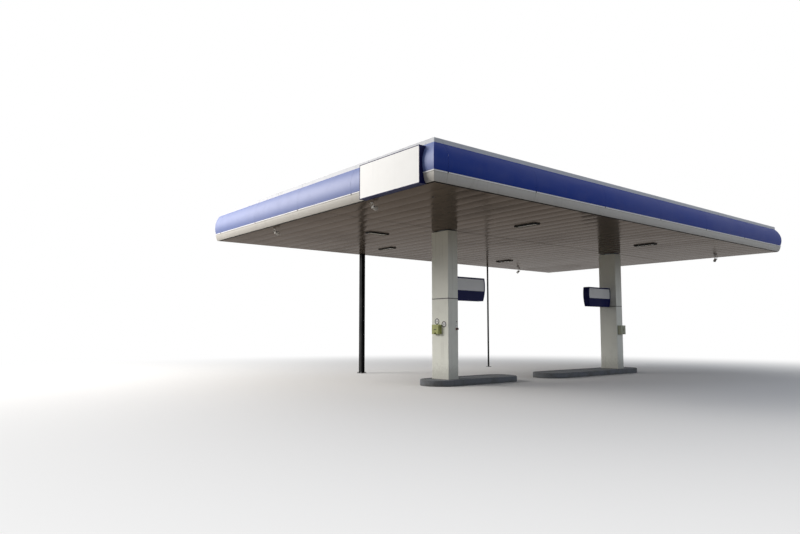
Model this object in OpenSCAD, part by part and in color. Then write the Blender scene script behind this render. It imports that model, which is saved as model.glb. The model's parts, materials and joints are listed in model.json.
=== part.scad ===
// Filling station canopy: a flat roof with a bullnose fascia on two clad columns,
// two kerbed islands and two rear posts. X runs along the long front, Y to the rear, Z up.

/* [Roof plan] */
// Length between the outer faces of the top trim
canopy_l = 17550; // [16000:50:20000]
// Depth between the outer faces of the top trim
canopy_d = 10600; // [10000:50:12000]
// Height of the soffit above the ground
soffit_z = 4600; // [4200:50:5200]
// Length of the rear edge that stands against a wall
wall_l = 8800; // [7000:50:10000]

/* [Fascia] */
// Height of the lower band
band_h = 250; // [200:5:300]
// How far the foot of the lower band lies outside the trim face
band_foot = 66; // [56:2:80]
// How far that foot lies above the soffit, where a dark edge shows
foot_rise = 18; // [10:1:30]
// Height of the curved sheet
bull_h = 610; // [500:5:700]
// How far the curved sheet stands out from the trim face
bull_out = 158; // [120:2:200]
// Drop from the top of the curved sheet to its widest line
bull_crest = 410; // [340:5:440]
// Height of the top trim
trim_h = 95; // [70:5:140]
// Depth of the top trim across the parapet
trim_d = 190; // [180:5:240]
// Thickness of the fascia sheets
skin_t = 4; // [2:0.5:6]
// Open joint between the curved sheet and the lower band
reveal = 12; // [6:1:20]
// How far the lip of the lower band stands out past the curved sheet
lip_out = 14; // [8:1:20]
// Height of that lip
lip_h = 24; // [16:1:36]
// Length of the mitred corner pieces
corner_l = 260; // [220:10:320]
// Number of fascia panels along each long side
panels_long = 6; // [4:1:8]
// Number of fascia panels along each short side
panels_short = 4; // [3:1:6]
// Width of the open joints between panels
panel_joint = 5; // [3:1:8]

/* [Soffit and roof] */
// Wished width of one soffit tray
tray_w = 500; // [400:10:600]
// Height of the turned up edges of a tray
tray_h = 30; // [20:1:40]
// Thickness of the tray sheet
tray_t = 2; // [1.5:0.5:3]
// Open joint between two trays
tray_joint = 8; // [5:1:12]
// Line where front and rear trays meet, from the front trim face
seam_y = 4130; // [4000:10:4500]
// Pitch of the ribs of the roof sheets
deck_pitch = 300; // [250:10:350]
// Height of the ribs of the roof sheets
deck_rib = 45; // [30:5:60]
// Thickness of the roof sheets
deck_t = 2; // [1.5:0.5:3]

/* [Columns and posts] */
// Middle of the left column from the left trim face
left_col_x = 4395; // [4200:5:4600]
// Distance between the middles of the columns
col_pitch = 8835; // [8000:5:9200]
// Middle of both columns from the front trim face
col_y = 4380; // [4300:5:4500]
// Width of a column casing along the roof
case_w = 400; // [380:5:460]
// Depth of a column casing across the roof
case_d = 715; // [600:5:760]
// Thickness of the casing sheets
case_t = 4; // [3:0.5:6]
// Height of the joint between lower and upper casing above the ground
case_joint_z = 2545; // [2400:5:2700]
// Flange width and depth of the steel inside a column
steel_w = 240; // [220:5:260]
// Middle of the wall post from the left trim face
wall_post_x = 5650; // [5400:10:6200]
// Flange width and depth of the wall post
wall_post_w = 160; // [140:5:180]
// Middle of the round post from the left trim face
round_post_x = 12730; // [12000:10:13400]
// Diameter of the round post
round_post_d = 76; // [60:1:90]

/* [Islands] */
// Height of the islands above the ground
island_h = 180; // [120:5:200]
// Width of both islands
island_w = 1200; // [1100:10:1300]
// Left end of the left island from the left trim face
left_island_x = 3600; // [3500:10:3640]
// Length of the left island
left_island_l = 3700; // [3200:10:4200]
// Left end of the right island from the left trim face
right_island_x = 8800; // [8400:10:9600]
// Length of the right island
right_island_l = 5600; // [5400:10:6200]
// Width of the kerb stones
kerb_w = 125; // [100:5:150]
// Radius of the rounded upper edge of the kerbs
kerb_r = 25; // [10:1:40]
// Wished length of a straight kerb stone
kerb_l = 1000; // [500:50:1200]
// How far the infill lies below the top of the kerbs
infill_drop = 10; // [4:1:20]

/* [Signs and lamps] */
// Length of the bare sign board on the left fascia
board_l = 2110; // [1600:10:2400]
// Height of the sign board
board_h = 800; // [700:10:840]
// Nearest edge of the sign board from the front trim face
board_y = 195; // [60:5:400]
// How far the sign board stands out from the trim face
board_out = 235; // [200:5:380]
// Length of a column sign at its widest line
sign_l = 1430; // [1200:10:1600]
// Height of a column sign
sign_h = 720; // [600:10:760]
// Thickness of a column sign
sign_t = 240; // [180:5:280]
// Height of the widest line of a column sign above its foot
sign_crest = 460; // [400:10:500]
// Radius of the bowed ends of a column sign
sign_r = 1220; // [1000:10:1600]
// Height of the blue field below the panel of a column sign
sign_split = 310; // [250:5:360]
// Width of the frame round a panel of a column sign
sign_frame = 46; // [24:2:60]
// Length of a soffit lamp
lamp_l = 700; // [600:10:1300]
// Width of a soffit lamp
lamp_w = 205; // [180:5:300]
// Middle of the lamps from the nearer long edge
lamp_y = 2070; // [2000:10:2200]
// Middle of the left pair of lamps from the left trim face
lamp_x_left = 5440; // [5300:10:5800]
// Middle of the right pair of lamps from the left trim face
lamp_x_right = 11810; // [11600:10:12200]
// How far the lamps hang below the soffit
lamp_drop = 34; // [30:1:70]
// How much a lamp draws in at each side towards its foot
lamp_slope = 20; // [10:1:24]
// Middle of the crosswise lamp from the left trim face
cross_lamp_x = 3040; // [2400:10:3300]
// Middle of the crosswise lamp from the front trim face
cross_lamp_y = 5950; // [5700:10:6000]

/* [Small fittings] */
// Width of the towel box on the left column
left_towel_w = 300; // [240:5:340]
// Height of that towel box
left_towel_h = 280; // [200:5:320]
// Height of its foot above the ground
left_towel_z = 1500; // [1300:10:1600]
// Middle of that towel box behind the middle of the column
left_towel_y = 80; // [40:5:120]
// Width of the towel box on the right column
right_towel_w = 350; // [280:5:360]
// Height of that towel box
right_towel_h = 340; // [280:5:380]
// Height of its foot above the ground
right_towel_z = 1480; // [1300:10:1600]
// Depth of both towel boxes
towel_d = 130; // [90:5:150]
// Diameter of the round plates
plate_d = 180; // [110:5:190]
// Middle of the upper round plate behind the middle of the column
plate_y_rear = 125; // [80:5:160]
// Middle of the other round plate in front of the middle of the column
plate_y_front = 175; // [170:5:220]
// Height of that plate's middle above the ground
plate_z_front = 1790; // [1700:5:1900]
// Diameter of a spotlight
spot_d = 94; // [70:2:110]
// Drop of a spotlight's pivot below the soffit
spot_drop = 100; // [90:2:120]
// Tilt of the left spotlights from straight down
spot_tip_left = 76; // [40:2:80]
// Tilt of the right spotlights from straight down
spot_tip_right = 54; // [40:2:80]
// Distance of the edge spotlights from the trim faces
spot_in = 180; // [160:5:260]
// First left spotlight from the front trim face
spot_y_near = 2390; // [1500:10:3000]
// Second left spotlight from the front trim face
spot_y_far = 7210; // [6500:10:8500]
// Right spotlight from the front trim face
spot_y_right = 2160; // [1500:10:3000]
// Rear spotlight from the right trim face
spot_x_back = 2540; // [1500:10:3000]

/* [Hidden] */

blue = [0.10, 0.20, 0.58];
band_grey = [0.80, 0.81, 0.82];
trim_white = [0.92, 0.93, 0.94];
casing_white = [0.88, 0.90, 0.87];
concrete = [0.62, 0.62, 0.60];
zinc = [0.62, 0.64, 0.66];
soffit_white = [0.86, 0.85, 0.82];
lens_white = [0.97, 0.97, 0.94];
dark_grey = [0.20, 0.21, 0.23];
box_green = [0.60, 0.67, 0.28];

// Levels, all above the ground
bull_foot_z = soffit_z + band_h;
bull_top_z = bull_foot_z + bull_h;
roof_top_z = bull_top_z + trim_h;
girder_h = 400;
girder_tip_h = 220;
girder_rise = 520;
girder_top_z = soffit_z + girder_rise;
girder_z = girder_top_z - girder_h;
rail_size = 100;
edge_z = girder_top_z - rail_size;
purlin_h = 180;
purlin_w = 64;
purlin_z = girder_top_z;
deck_z = purlin_z + purlin_h;
tray_top_z = soffit_z + tray_h;
hat_h = 40;
hat_w = 60;
hat_top_z = tray_top_z + hat_h;
ledge_t = 3;

// Cuts run this far past what they cut
over = 50;
// No section of the roof edge lies farther than this from its trim face
reach = 400;
// Folds along the edges of the fascia sheets
top_fold = 30;
foot_fold = 44;
trim_drip = 55;
// The dark edge angle stands this far outside the trim face, and the trays end inside it
shadow_out = 42;
soffit_out = 32;

// Plan distances from the trim faces, inwards
rail_in = 180;
deck_in = rail_in + 20;
gutter_w = 240;
gutter_in = rail_in;

right_col_x = left_col_x + col_pitch;
col_xs = [left_col_x, right_col_x];
post_y = canopy_d - rail_in - rail_size / 2;

// Circle of the curved sheet, outwards positive from the trim face
bull_r = (bull_crest * bull_crest + bull_out * bull_out) / (2 * bull_out);
bull_cx = bull_out - bull_r;
bull_cz = bull_top_z - bull_crest;
bull_drop = bull_h - bull_crest;
bull_foot_o = bull_cx + sqrt(bull_r * bull_r - bull_drop * bull_drop);

// The lower band bulges a little between its lip and its foot
lip_o = bull_foot_o + lip_out;
lip_over = max(0, lip_o - bull_out);
band_top_z = bull_foot_z - reveal;
band_face_z = band_top_z - lip_h;
band_bulge = 14;
band_face_o = bull_foot_o;
band_foot_z = soffit_z + foot_rise;
band_dx = band_face_o - band_foot;
band_dz = band_face_z - band_foot_z;
band_chord = sqrt(band_dx * band_dx + band_dz * band_dz);
band_r = (band_chord * band_chord / 4 + band_bulge * band_bulge) / (2 * band_bulge);
band_back = band_r - band_bulge;
band_cx = (band_face_o + band_foot) / 2 - band_back * band_dz / band_chord;
band_cz = (band_face_z + band_foot_z) / 2 + band_back * band_dx / band_chord;

// The whole object, for the origin at the middle of its footprint
low_x = -board_out;
high_x = canopy_l + bull_out + lip_over;
low_y = -bull_out - lip_over;
high_y = canopy_d + bull_out + lip_over;

// Rows that carry the soffit and the roof, from front to rear
lamp_clear = 180;
case_clear = 150;
cross_clear = 260;
row_gap = lamp_l / 2 + lamp_clear;
case_gap = case_d / 2 + case_clear;
cross_gap = lamp_w / 2 + cross_clear;
first_row = 400;
last_row = 480;
rows = [
    first_row, lamp_y - row_gap, lamp_y + row_gap, col_y - case_gap, col_y + case_gap,
    cross_lamp_y + cross_gap,
    canopy_d - lamp_y - row_gap, canopy_d - lamp_y + row_gap, canopy_d - last_row
];

// Each lamp as [x, y, turn]: four along the roof's depth and one across
lamps = concat(
    [
        for (x = [lamp_x_left, lamp_x_right])
        for (y = [lamp_y, canopy_d - lamp_y])
        [x, y, 0]
    ],
    [[cross_lamp_x, cross_lamp_y, 90]]
);
tray_n = round((canopy_l + 2 * soffit_out) / tray_w);
tray_pitch = (canopy_l + 2 * soffit_out) / tray_n;

module place() {
    translate([-(low_x + high_x) / 2, -(low_y + high_y) / 2, 0])
        children();
}

// Each side of the roof as seen from outside: its length, left end, turn and panels
function is_long(side) = side == "front" || side == "back";
function side_len(side) = is_long(side) ? canopy_l : canopy_d;
function side_corner(side) = side == "front" ? [0, 0, 0]
    : side == "right" ? [canopy_l, 0, 0]
    : side == "back" ? [canopy_l, canopy_d, 0]
    : [0, canopy_d, 0];
function side_turn(side) = side == "front" ? 0
    : side == "right" ? 90
    : side == "back" ? 180
    : 270;
function panel_count(side) = is_long(side) ? panels_long : panels_short;
function panel_step(side) = (side_len(side) - 2 * corner_l) / panel_count(side);

// Puts what runs along the front, from x = 0, along another side
module on_side(side) {
    translate(side_corner(side))
        rotate([0, 0, side_turn(side)])
            children();
}

// A section drawn as [outwards, up] is run along one side of the roof. It starts at the
// left end of that side, seen from outside, and its ends are cut square or mitred.
module side_run(side, ends = ["mitre", "mitre"], from = 0, to = -1, gap = 0) {
    len = side_len(side);
    last = to < 0 ? len : to;
    a0 = ends[0] == "mitre" ? gap - reach : from;
    a1 = ends[0] == "mitre" ? gap + reach : from;
    b0 = ends[1] == "mitre" ? len + reach - gap : last;
    b1 = ends[1] == "mitre" ? len - reach - gap : last;
    on_side(side)
        intersection() {
            translate([-reach, 0, 0])
                rotate([90, 0, 90])
                    linear_extrude(len + 2 * reach)
                        mirror([1, 0])
                            children();
            linear_extrude(roof_top_z + over)
                polygon([[a0, -reach], [b0, -reach], [b1, reach], [a1, reach]]);
        }
}

// Open joints cut across a side, the first one behind each corner piece
module side_joints(side) {
    on_side(side)
        for (i = [0:panel_count(side)])
            translate([corner_l + i * panel_step(side) - panel_joint / 2, -reach, soffit_z - over])
                cube([panel_joint, 2 * reach, roof_top_z - soffit_z + 2 * over]);
}

// Thin curved sheet between two levels, on the outer side of its circle
module arc_sheet(cx, cz, r, t, z0, z1) {
    intersection() {
        translate([cx, cz])
            difference() {
                circle(r, $fn = 360);
                circle(r - t, $fn = 360);
            }
        translate([cx + r / 2, z0])
            square([r, z1 - z0]);
    }
}

// Section of the curved sheet with a return at its top and foot
module bull_section() {
    arc_sheet(bull_cx, bull_cz, bull_r, skin_t, bull_foot_z, bull_top_z);
    translate([-top_fold, bull_top_z - skin_t])
        square([top_fold - skin_t / 2, skin_t]);
    translate([bull_foot_o - foot_fold, bull_foot_z])
        square([foot_fold - skin_t / 2, skin_t]);
}

// Section of the lower band: lip, slightly bulging face and a return under the ribs
module band_section() {
    arc_sheet(band_cx, band_cz, band_r, skin_t, band_foot_z, band_face_z);
    translate([bull_foot_o - foot_fold, band_top_z - skin_t])
        square([foot_fold + lip_out, skin_t]);
    translate([lip_o - skin_t, band_face_z])
        square([skin_t, lip_h]);
    translate([band_face_o - 2 * skin_t, band_face_z])
        square([lip_o - band_face_o + 2 * skin_t, skin_t]);
    translate([shadow_out, band_foot_z])
        square([band_foot - skin_t - shadow_out, skin_t]);
}

// Section of the top trim: face, top and a turned down inner edge
module trim_section() {
    translate([-skin_t, bull_top_z])
        square([skin_t, trim_h]);
    translate([-trim_d, roof_top_z - skin_t])
        square([trim_d, skin_t]);
    translate([-trim_d, roof_top_z - trim_drip])
        square([skin_t, trim_drip]);
    translate([-top_fold, bull_top_z])
        square([top_fold, skin_t]);
}

module fascia_side(side) {
    ends = side == "back" ? ["mitre", "square"]
        : side == "left" ? ["square", "mitre"]
        : ["mitre", "mitre"];
    from = side == "left" ? skin_t - bull_out - lip_over : 0;
    to = side == "back" ? canopy_l - wall_l : -1;
    difference() {
        side_run(side, ends, from, to)
            children();
        side_joints(side);
    }
}

module bull_side(side) {
    color(blue)
        place()
            fascia_side(side)
                bull_section();
}

module band_side(side) {
    color(band_grey)
        place()
            fascia_side(side)
                band_section();
}

module trim_side(side) {
    color(trim_white)
        place()
            fascia_side(side)
                trim_section();
}

module bullnose_front() { bull_side("front"); }
module bullnose_right() { bull_side("right"); }
module bullnose_back() { bull_side("back"); }
module bullnose_left() { bull_side("left"); }
module lower_band_front() { band_side("front"); }
module lower_band_right() { band_side("right"); }
module lower_band_back() { band_side("back"); }
module lower_band_left() { band_side("left"); }
module top_trim_front() { trim_side("front"); }
module top_trim_right() { trim_side("right"); }
module top_trim_back() { trim_side("back"); }
module top_trim_left() { trim_side("left"); }

// One plate behind the fascia, cut to the inside of the sheets and back to the edge rail,
// with a window in it
rib_web = 70;
rib_t = 6;
module rib_shape() {
    difference() {
        union() {
            intersection() {
                translate([bull_cx, bull_cz])
                    circle(bull_r - skin_t, $fn = 360);
                translate([-rail_in, bull_foot_z + skin_t])
                    square([rail_in + bull_out, bull_h - 2 * skin_t]);
            }
            translate([-rail_in, tray_top_z + ledge_t])
                square([rail_in + shadow_out + 1, bull_foot_z + 2 * skin_t - tray_top_z - ledge_t]);
            intersection() {
                translate([band_cx, band_cz])
                    circle(band_r - skin_t, $fn = 360);
                translate([shadow_out, band_foot_z + skin_t])
                    square([reach, band_face_z - band_foot_z - skin_t]);
            }
        }
        translate([rib_web - rail_in, bull_foot_z + rib_web])
            square([rail_in + bull_foot_o - 2 * rib_web, bull_h - 4 * rib_web]);
    }
}

// Positions along a side: one near the end of each corner piece and two to a panel
rib_end = 60;
function rib_places(side) = concat(
    [corner_l - rib_end, side_len(side) - corner_l + rib_end],
    [
        for (i = [0:panel_count(side) - 1])
        for (share = [0.2, 0.8])
        corner_l + (i + share) * panel_step(side)
    ]
);

module ribs_along(side) {
    limit = side == "back" ? canopy_l - wall_l - rib_end : side_len(side);
    on_side(side)
        for (x = rib_places(side))
            if (x < limit)
                translate([x - rib_t / 2, 0, 0])
                    rotate([90, 0, 90])
                        linear_extrude(rib_t)
                            mirror([1, 0])
                                rib_shape();
}

module fascia_ribs() {
    color(zinc)
        place() {
            ribs_along("front");
            ribs_along("right");
            ribs_along("back");
            ribs_along("left");
        }
}

// Stadium outline, its ends fully round
module stadium(l, w) {
    square([l - w, w], center = true);
    for (s = [-1, 1])
        translate([s * (l - w) / 2, 0])
            circle(w / 2, $fn = 96);
}

// Half of the section across an island, or of one that lies inside it all round, with a
// rounded upper edge
module island_section(inset) {
    w = island_w / 2 - inset;
    h = island_h - inset;
    r = max(kerb_r - inset, 1);
    square([w - r, h]);
    square([w, h - r]);
    translate([w - r, h - r])
        circle(r, $fn = 64);
}

module island_body(straight, inset) {
    translate([-straight / 2, 0, 0])
        rotate([90, 0, 90])
            linear_extrude(straight) {
                island_section(inset);
                mirror([1, 0])
                    island_section(inset);
            }
    for (side = [0, 1])
        rotate([0, 0, 180 * side])
            translate([straight / 2, 0, 0])
                rotate([0, 0, -90])
                    rotate_extrude(angle = 180, $fn = 128)
                        island_section(inset);
}

// Thin slices where kerb stones meet: square ones between and radial ones round the ends
kerb_joint = 6;
module kerb_slices(straight) {
    n = max(1, round(straight / kerb_l));
    for (i = [0:n])
        translate([-straight / 2 + i * straight / n - kerb_joint / 2, -island_w, 0])
            cube([kerb_joint, 2 * island_w, island_h + over]);
    for (side = [0, 1])
        for (a = [-30, 30])
            rotate([0, 0, 180 * side])
                translate([straight / 2, 0, 0])
                    rotate([0, 0, a])
                        translate([0, -kerb_joint / 2, 0])
                            cube([island_w, kerb_joint, island_h + over]);
}

// Island of cast infill inside kerb stones, the joints between the stones left open
module island(x, l) {
    straight = l - island_w;
    color(concrete)
        place()
            translate([x + l / 2, col_y, 0])
                difference() {
                    island_body(straight, 0);
                    translate([0, 0, island_h - infill_drop])
                        linear_extrude(infill_drop + over)
                            stadium(l - 2 * kerb_w, island_w - 2 * kerb_w);
                    difference() {
                        kerb_slices(straight);
                        island_body(straight, kerb_joint);
                    }
                }
}

module island_left() { island(left_island_x, left_island_l); }
module island_right() { island(right_island_x, right_island_l); }

// H section with its web across the roof
module h_outline(w, tf, tw) {
    for (s = [-1, 1])
        translate([s * (w - tf) / 2, 0])
            square([tf, w], center = true);
    square([w - tf, tw], center = true);
}

module base_plate(w, d, t, hole_d, hole_x, hole_y) {
    difference() {
        translate([-w / 2, -d / 2, 0])
            cube([w, d, t]);
        for (sx = [-1, 1])
            for (sy = [-1, 1])
                translate([sx * hole_x / 2, sy * hole_y / 2, -1])
                    cylinder(d = hole_d, h = t + 2, $fn = 32);
    }
}

// The columns stand on the infill
floor_z = island_h - infill_drop;
base_t = 25;
head_t = 20;
module column_steel(x) {
    air = 10;
    plate_w = case_w - 2 * case_t - 2 * air;
    plate_l = 2 * steel_w;
    anchor_d = 26;
    edge = 1.5 * anchor_d;
    head_w = steel_w + 20;
    head_l = steel_w + 60;
    color(zinc)
        place()
            translate([x, col_y, floor_z]) {
                base_plate(plate_w, plate_l, base_t, anchor_d, plate_w - 2 * edge, plate_l - 2 * edge);
                translate([0, 0, base_t - 1])
                    linear_extrude(girder_z - floor_z - base_t - head_t + 2)
                        h_outline(steel_w, 17, 10);
                translate([-head_w / 2, -head_l / 2, girder_z - floor_z - head_t])
                    cube([head_w, head_l, head_t]);
            }
}

module column_steel_left() { column_steel(left_col_x); }
module column_steel_right() { column_steel(right_col_x); }

// Rectangle with round corners
module soft_rect(w, d, r) {
    square([w - 2 * r, d], center = true);
    square([w, d - 2 * r], center = true);
    for (sx = [-1, 1])
        for (sy = [-1, 1])
            translate([sx * (w / 2 - r), sy * (d / 2 - r)])
                circle(r, $fn = 32);
}

module casing_ring(w, d, t, h) {
    r = 10;
    linear_extrude(h)
        difference() {
            soft_rect(w, d, r);
            soft_rect(w - 2 * t, d - 2 * t, r - t);
        }
}

skirt_h = 105;
skirt_t = 5;
module column_skirts() {
    color(casing_white)
        place()
            for (x = col_xs)
                translate([x, col_y, floor_z])
                    casing_ring(case_w + 2 * skirt_t, case_d + 2 * skirt_t, skirt_t, skirt_h);
}

// An inner sleeve keeps the lower and upper casing in line across their joint
case_gap_z = 12;
sleeve_h = 60;
module casing_lower(x) {
    h = case_joint_z - floor_z;
    color(casing_white)
        place()
            translate([x, col_y, floor_z]) {
                casing_ring(case_w, case_d, case_t, h);
                translate([0, 0, h - sleeve_h])
                    casing_ring(case_w - 2 * case_t, case_d - 2 * case_t, case_t, 2 * sleeve_h + case_gap_z);
            }
}

module casing_lower_left() { casing_lower(left_col_x); }
module casing_lower_right() { casing_lower(right_col_x); }

// The upper casing is folded from two halves, with a seam down the middle of each narrow
// face, and stops short of the soffit
case_top_gap = 30;
case_seam = 4;
module casing_upper(x) {
    z0 = case_joint_z + case_gap_z;
    h = soffit_z - case_top_gap - z0;
    color(casing_white)
        place()
            translate([x, col_y, z0])
                difference() {
                    casing_ring(case_w, case_d, case_t, h);
                    for (y = [-case_d / 2, case_d / 2])
                        translate([-case_seam / 2, y - case_t / 2, -over])
                            cube([case_seam, case_t, h + over]);
                }
}

module casing_upper_left() { casing_upper(left_col_x); }
module casing_upper_right() { casing_upper(right_col_x); }

// Both posts stand on foot plates that show 50 mm all round, their holes in the middle of that
foot_show = 50;
module wall_post() {
    plate = wall_post_w + 2 * foot_show;
    holes = wall_post_w + foot_show;
    foot_t = 20;
    cap_t = 15;
    color(dark_grey)
        place()
            translate([wall_post_x, post_y, 0]) {
                base_plate(plate, plate, foot_t, 22, holes, holes);
                translate([0, 0, foot_t - 1])
                    linear_extrude(edge_z - cap_t - foot_t + 2)
                        h_outline(wall_post_w, 13, 8);
                translate([-wall_post_w / 2, -wall_post_w / 2, edge_z - cap_t])
                    cube([wall_post_w, wall_post_w, cap_t]);
            }
}

module round_post() {
    plate = round_post_d + 2 * foot_show;
    holes = round_post_d + foot_show;
    foot_t = 12;
    cap_t = 10;
    tube_t = 4;
    color(dark_grey)
        place()
            translate([round_post_x, post_y, 0]) {
                base_plate(plate, plate, foot_t, 14, holes, holes);
                translate([0, 0, foot_t - 1])
                    difference() {
                        cylinder(d = round_post_d, h = edge_z - cap_t - foot_t + 2, $fn = 64);
                        translate([0, 0, -1])
                            cylinder(d = round_post_d - 2 * tube_t, h = edge_z, $fn = 64);
                    }
                translate([-round_post_d / 2, -round_post_d / 2, edge_z - cap_t])
                    cube([round_post_d, round_post_d, cap_t]);
            }
}

// Tapered plate girder over a column, deepest at the column
module girder(x) {
    y0 = rail_in + rail_size;
    y1 = canopy_d - rail_in - rail_size;
    tip = girder_top_z - girder_tip_h;
    flat = 350;
    tf = 16;
    tw = 10;
    outline = [
        [y0, tip], [col_y - flat, girder_z], [col_y + flat, girder_z],
        [y1, tip], [y1, girder_top_z], [y0, girder_top_z]
    ];
    inner = [
        [y0 - 1, tip + tf], [col_y - flat, girder_z + tf], [col_y + flat, girder_z + tf],
        [y1 + 1, tip + tf], [y1 + 1, girder_top_z - tf], [y0 - 1, girder_top_z - tf]
    ];
    translate([x - steel_w / 2, 0, 0])
        rotate([90, 0, 90])
            linear_extrude(steel_w)
                difference() {
                    polygon(outline);
                    polygon(inner);
                }
    translate([x - tw / 2, 0, 0])
        rotate([90, 0, 90])
            linear_extrude(tw)
                polygon(outline);
}

module main_girders() {
    color(zinc)
        place()
            for (x = col_xs)
                girder(x);
}

module edge_rail() {
    t = 5;
    l = canopy_l - 2 * rail_in;
    d = canopy_d - 2 * rail_in;
    color(zinc)
        place()
            translate([rail_in, rail_in, edge_z])
                difference() {
                    cube([l, d, rail_size]);
                    translate([rail_size, rail_size, -1])
                        cube([l - 2 * rail_size, d - 2 * rail_size, rail_size + 2]);
                    translate([t, t, t])
                        difference() {
                            cube([l - 2 * t, d - 2 * t, rail_size - 2 * t]);
                            translate([rail_size - 2 * t, rail_size - 2 * t, -1])
                                cube([l - 2 * rail_size + 2 * t, d - 2 * rail_size + 2 * t, rail_size]);
                        }
                }
}

// Cold formed channel, open to the rear, run along the roof
module channel_section(w, h, t) {
    difference() {
        square([w, h]);
        translate([t, t])
            square([w, h - 2 * t]);
    }
    for (z = [t, h - t - 15])
        translate([w - t, z])
            square([t, 15]);
}

module along_x(y, z, x0, x1) {
    translate([x0, y, z])
        rotate([90, 0, 90])
            linear_extrude(x1 - x0)
                children();
}

module purlins() {
    color(zinc)
        place()
            for (y = rows)
                along_x(y - purlin_w / 2, purlin_z, rail_in, canopy_l - rail_in)
                    channel_section(purlin_w, purlin_h, 3);
}

// Folded roof sheets, their ribs across the roof
deck_n = floor((canopy_l - 2 * deck_in) / deck_pitch);
deck_step = (canopy_l - 2 * deck_in) / deck_n;
function deck_line(lift) = [
    for (i = [0:deck_n - 1])
    for (p = [[0, 0], [0.52, 0], [0.62, 1], [0.90, 1]])
    [(i + p[0]) * deck_step, p[1] * deck_rib + lift]
];
function flip(list) = [for (i = [len(list) - 1:-1:0]) list[i]];

module roof_deck() {
    last = [[deck_n * deck_step, 0]];
    low = concat(deck_line(0), last);
    high = concat(deck_line(deck_t), [[deck_n * deck_step, deck_t]]);
    y0 = deck_in;
    y1 = canopy_d - gutter_in - gutter_w + 20;
    color(zinc)
        place()
            translate([deck_in, y1, deck_z])
                rotate([90, 0, 0])
                    linear_extrude(y1 - y0)
                        polygon(concat(low, flip(high)));
}

module rain_gutter() {
    y0 = canopy_d - gutter_in - gutter_w;
    h = 110;
    t = 3;
    color(zinc)
        place()
            along_x(y0, deck_z - h, rail_in, canopy_l - rail_in)
                difference() {
                    square([gutter_w, h]);
                    translate([t, t])
                        square([gutter_w - 2 * t, h]);
                }
}

// Upstand behind the ribs, its foot on the roof sheets or, at the rear, in the gutter
module flashing_section(side) {
    t = 2;
    foot = side == "back" ? deck_z : deck_z + deck_rib + deck_t;
    translate([-rail_in - t, foot])
        square([t, roof_top_z - skin_t - foot]);
    if (side != "back")
        translate([-rail_in - 70, foot])
            square([70, t]);
}

module parapet_flashing() {
    color(zinc)
        place()
            for (side = ["front", "right", "back", "left"])
                side_run(side, gap = 1)
                    flashing_section(side);
}

// Flat sheet that closes the rear edge where it stands against a wall, its left end cut to
// the outline of the fascia
module wall_flashing() {
    back = bull_out + lip_over;
    color(trim_white)
        place() {
            intersection() {
                fascia_core();
                translate([-reach, canopy_d + back - skin_t, band_foot_z])
                    cube([reach + 1, skin_t, roof_top_z - band_foot_z]);
            }
            translate([0, canopy_d, 0]) {
                translate([0, back - skin_t, band_foot_z])
                    cube([wall_l, skin_t, roof_top_z - band_foot_z]);
                translate([trim_d, -trim_d, roof_top_z - skin_t])
                    cube([wall_l - trim_d, trim_d + back, skin_t]);
                translate([-shadow_out, shadow_out, band_foot_z])
                    cube([wall_l + shadow_out, back - shadow_out, skin_t]);
            }
        }
}

// Dark angle round the soffit: its leg shows below the foot of the band, its ledge lies on
// the trays
module soffit_edge_angle() {
    t = ledge_t;
    ledge_w = 70;
    color(dark_grey)
        place()
            for (side = ["front", "right", "back", "left"])
                side_run(side) {
                    translate([shadow_out - t, soffit_z])
                        square([t, tray_h + t]);
                    translate([shadow_out - ledge_w, tray_top_z])
                        square([ledge_w, t]);
                }
}

module column_cutouts(gap) {
    for (x = col_xs)
        translate([x - case_w / 2 - gap, col_y - case_d / 2 - gap, soffit_z - over])
            cube([case_w + 2 * gap, case_d + 2 * gap, tray_h + hat_h + 2 * over]);
}

module post_cutouts(gap) {
    translate([wall_post_x - wall_post_w / 2 - gap, post_y - wall_post_w / 2 - gap, soffit_z - over])
        cube([wall_post_w + 2 * gap, wall_post_w + 2 * gap, tray_h + hat_h + 2 * over]);
    translate([round_post_x, post_y, soffit_z - over])
        cylinder(d = round_post_d + 2 * gap, h = tray_h + hat_h + 2 * over, $fn = 64);
}

module soffit_rails() {
    t = 2;
    step = 1460;
    n = floor((canopy_l - 800) / step);
    x0 = (canopy_l - n * step) / 2;
    color(zinc)
        place() {
            for (y = rows)
                for (i = [0:n])
                    if (min([for (x = col_xs) abs(x0 + i * step - x)]) > steel_w)
                        translate([x0 + i * step - 15, y - 2, hat_top_z])
                            cube([30, 4, purlin_z - hat_top_z]);
            difference() {
                for (y = rows)
                    along_x(y - hat_w / 2, tray_top_z, rail_in, canopy_l - rail_in)
                        difference() {
                            square([hat_w, hat_h]);
                            translate([t, -1])
                                square([hat_w - 2 * t, hat_h - t + 1]);
                        }
                post_cutouts(8);
            }
        }
}

// Section of the soffit: flat trays that lock together over a deep narrow joint
tray_recess = 14;
tray_lower = [
    for (i = [0:tray_n - 1])
    for (p = [[0, tray_recess], [tray_joint / 2, tray_recess], [tray_joint / 2, 0],
        [tray_pitch - tray_joint / 2, 0], [tray_pitch - tray_joint / 2, tray_recess]])
    [i * tray_pitch + p[0], p[1]]
];
tray_upper = [
    for (i = [0:tray_n - 1])
    for (p = [[0, tray_h], [tray_joint / 2 + tray_t, tray_h], [tray_joint / 2 + tray_t, tray_t],
        [tray_pitch - tray_joint / 2 - tray_t, tray_t], [tray_pitch - tray_joint / 2 - tray_t, tray_h]])
    [i * tray_pitch + p[0], p[1]]
];

module at_lamps() {
    for (p = lamps)
        translate([p[0], p[1], soffit_z])
            rotate([0, 0, p[2]])
                children();
}

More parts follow.
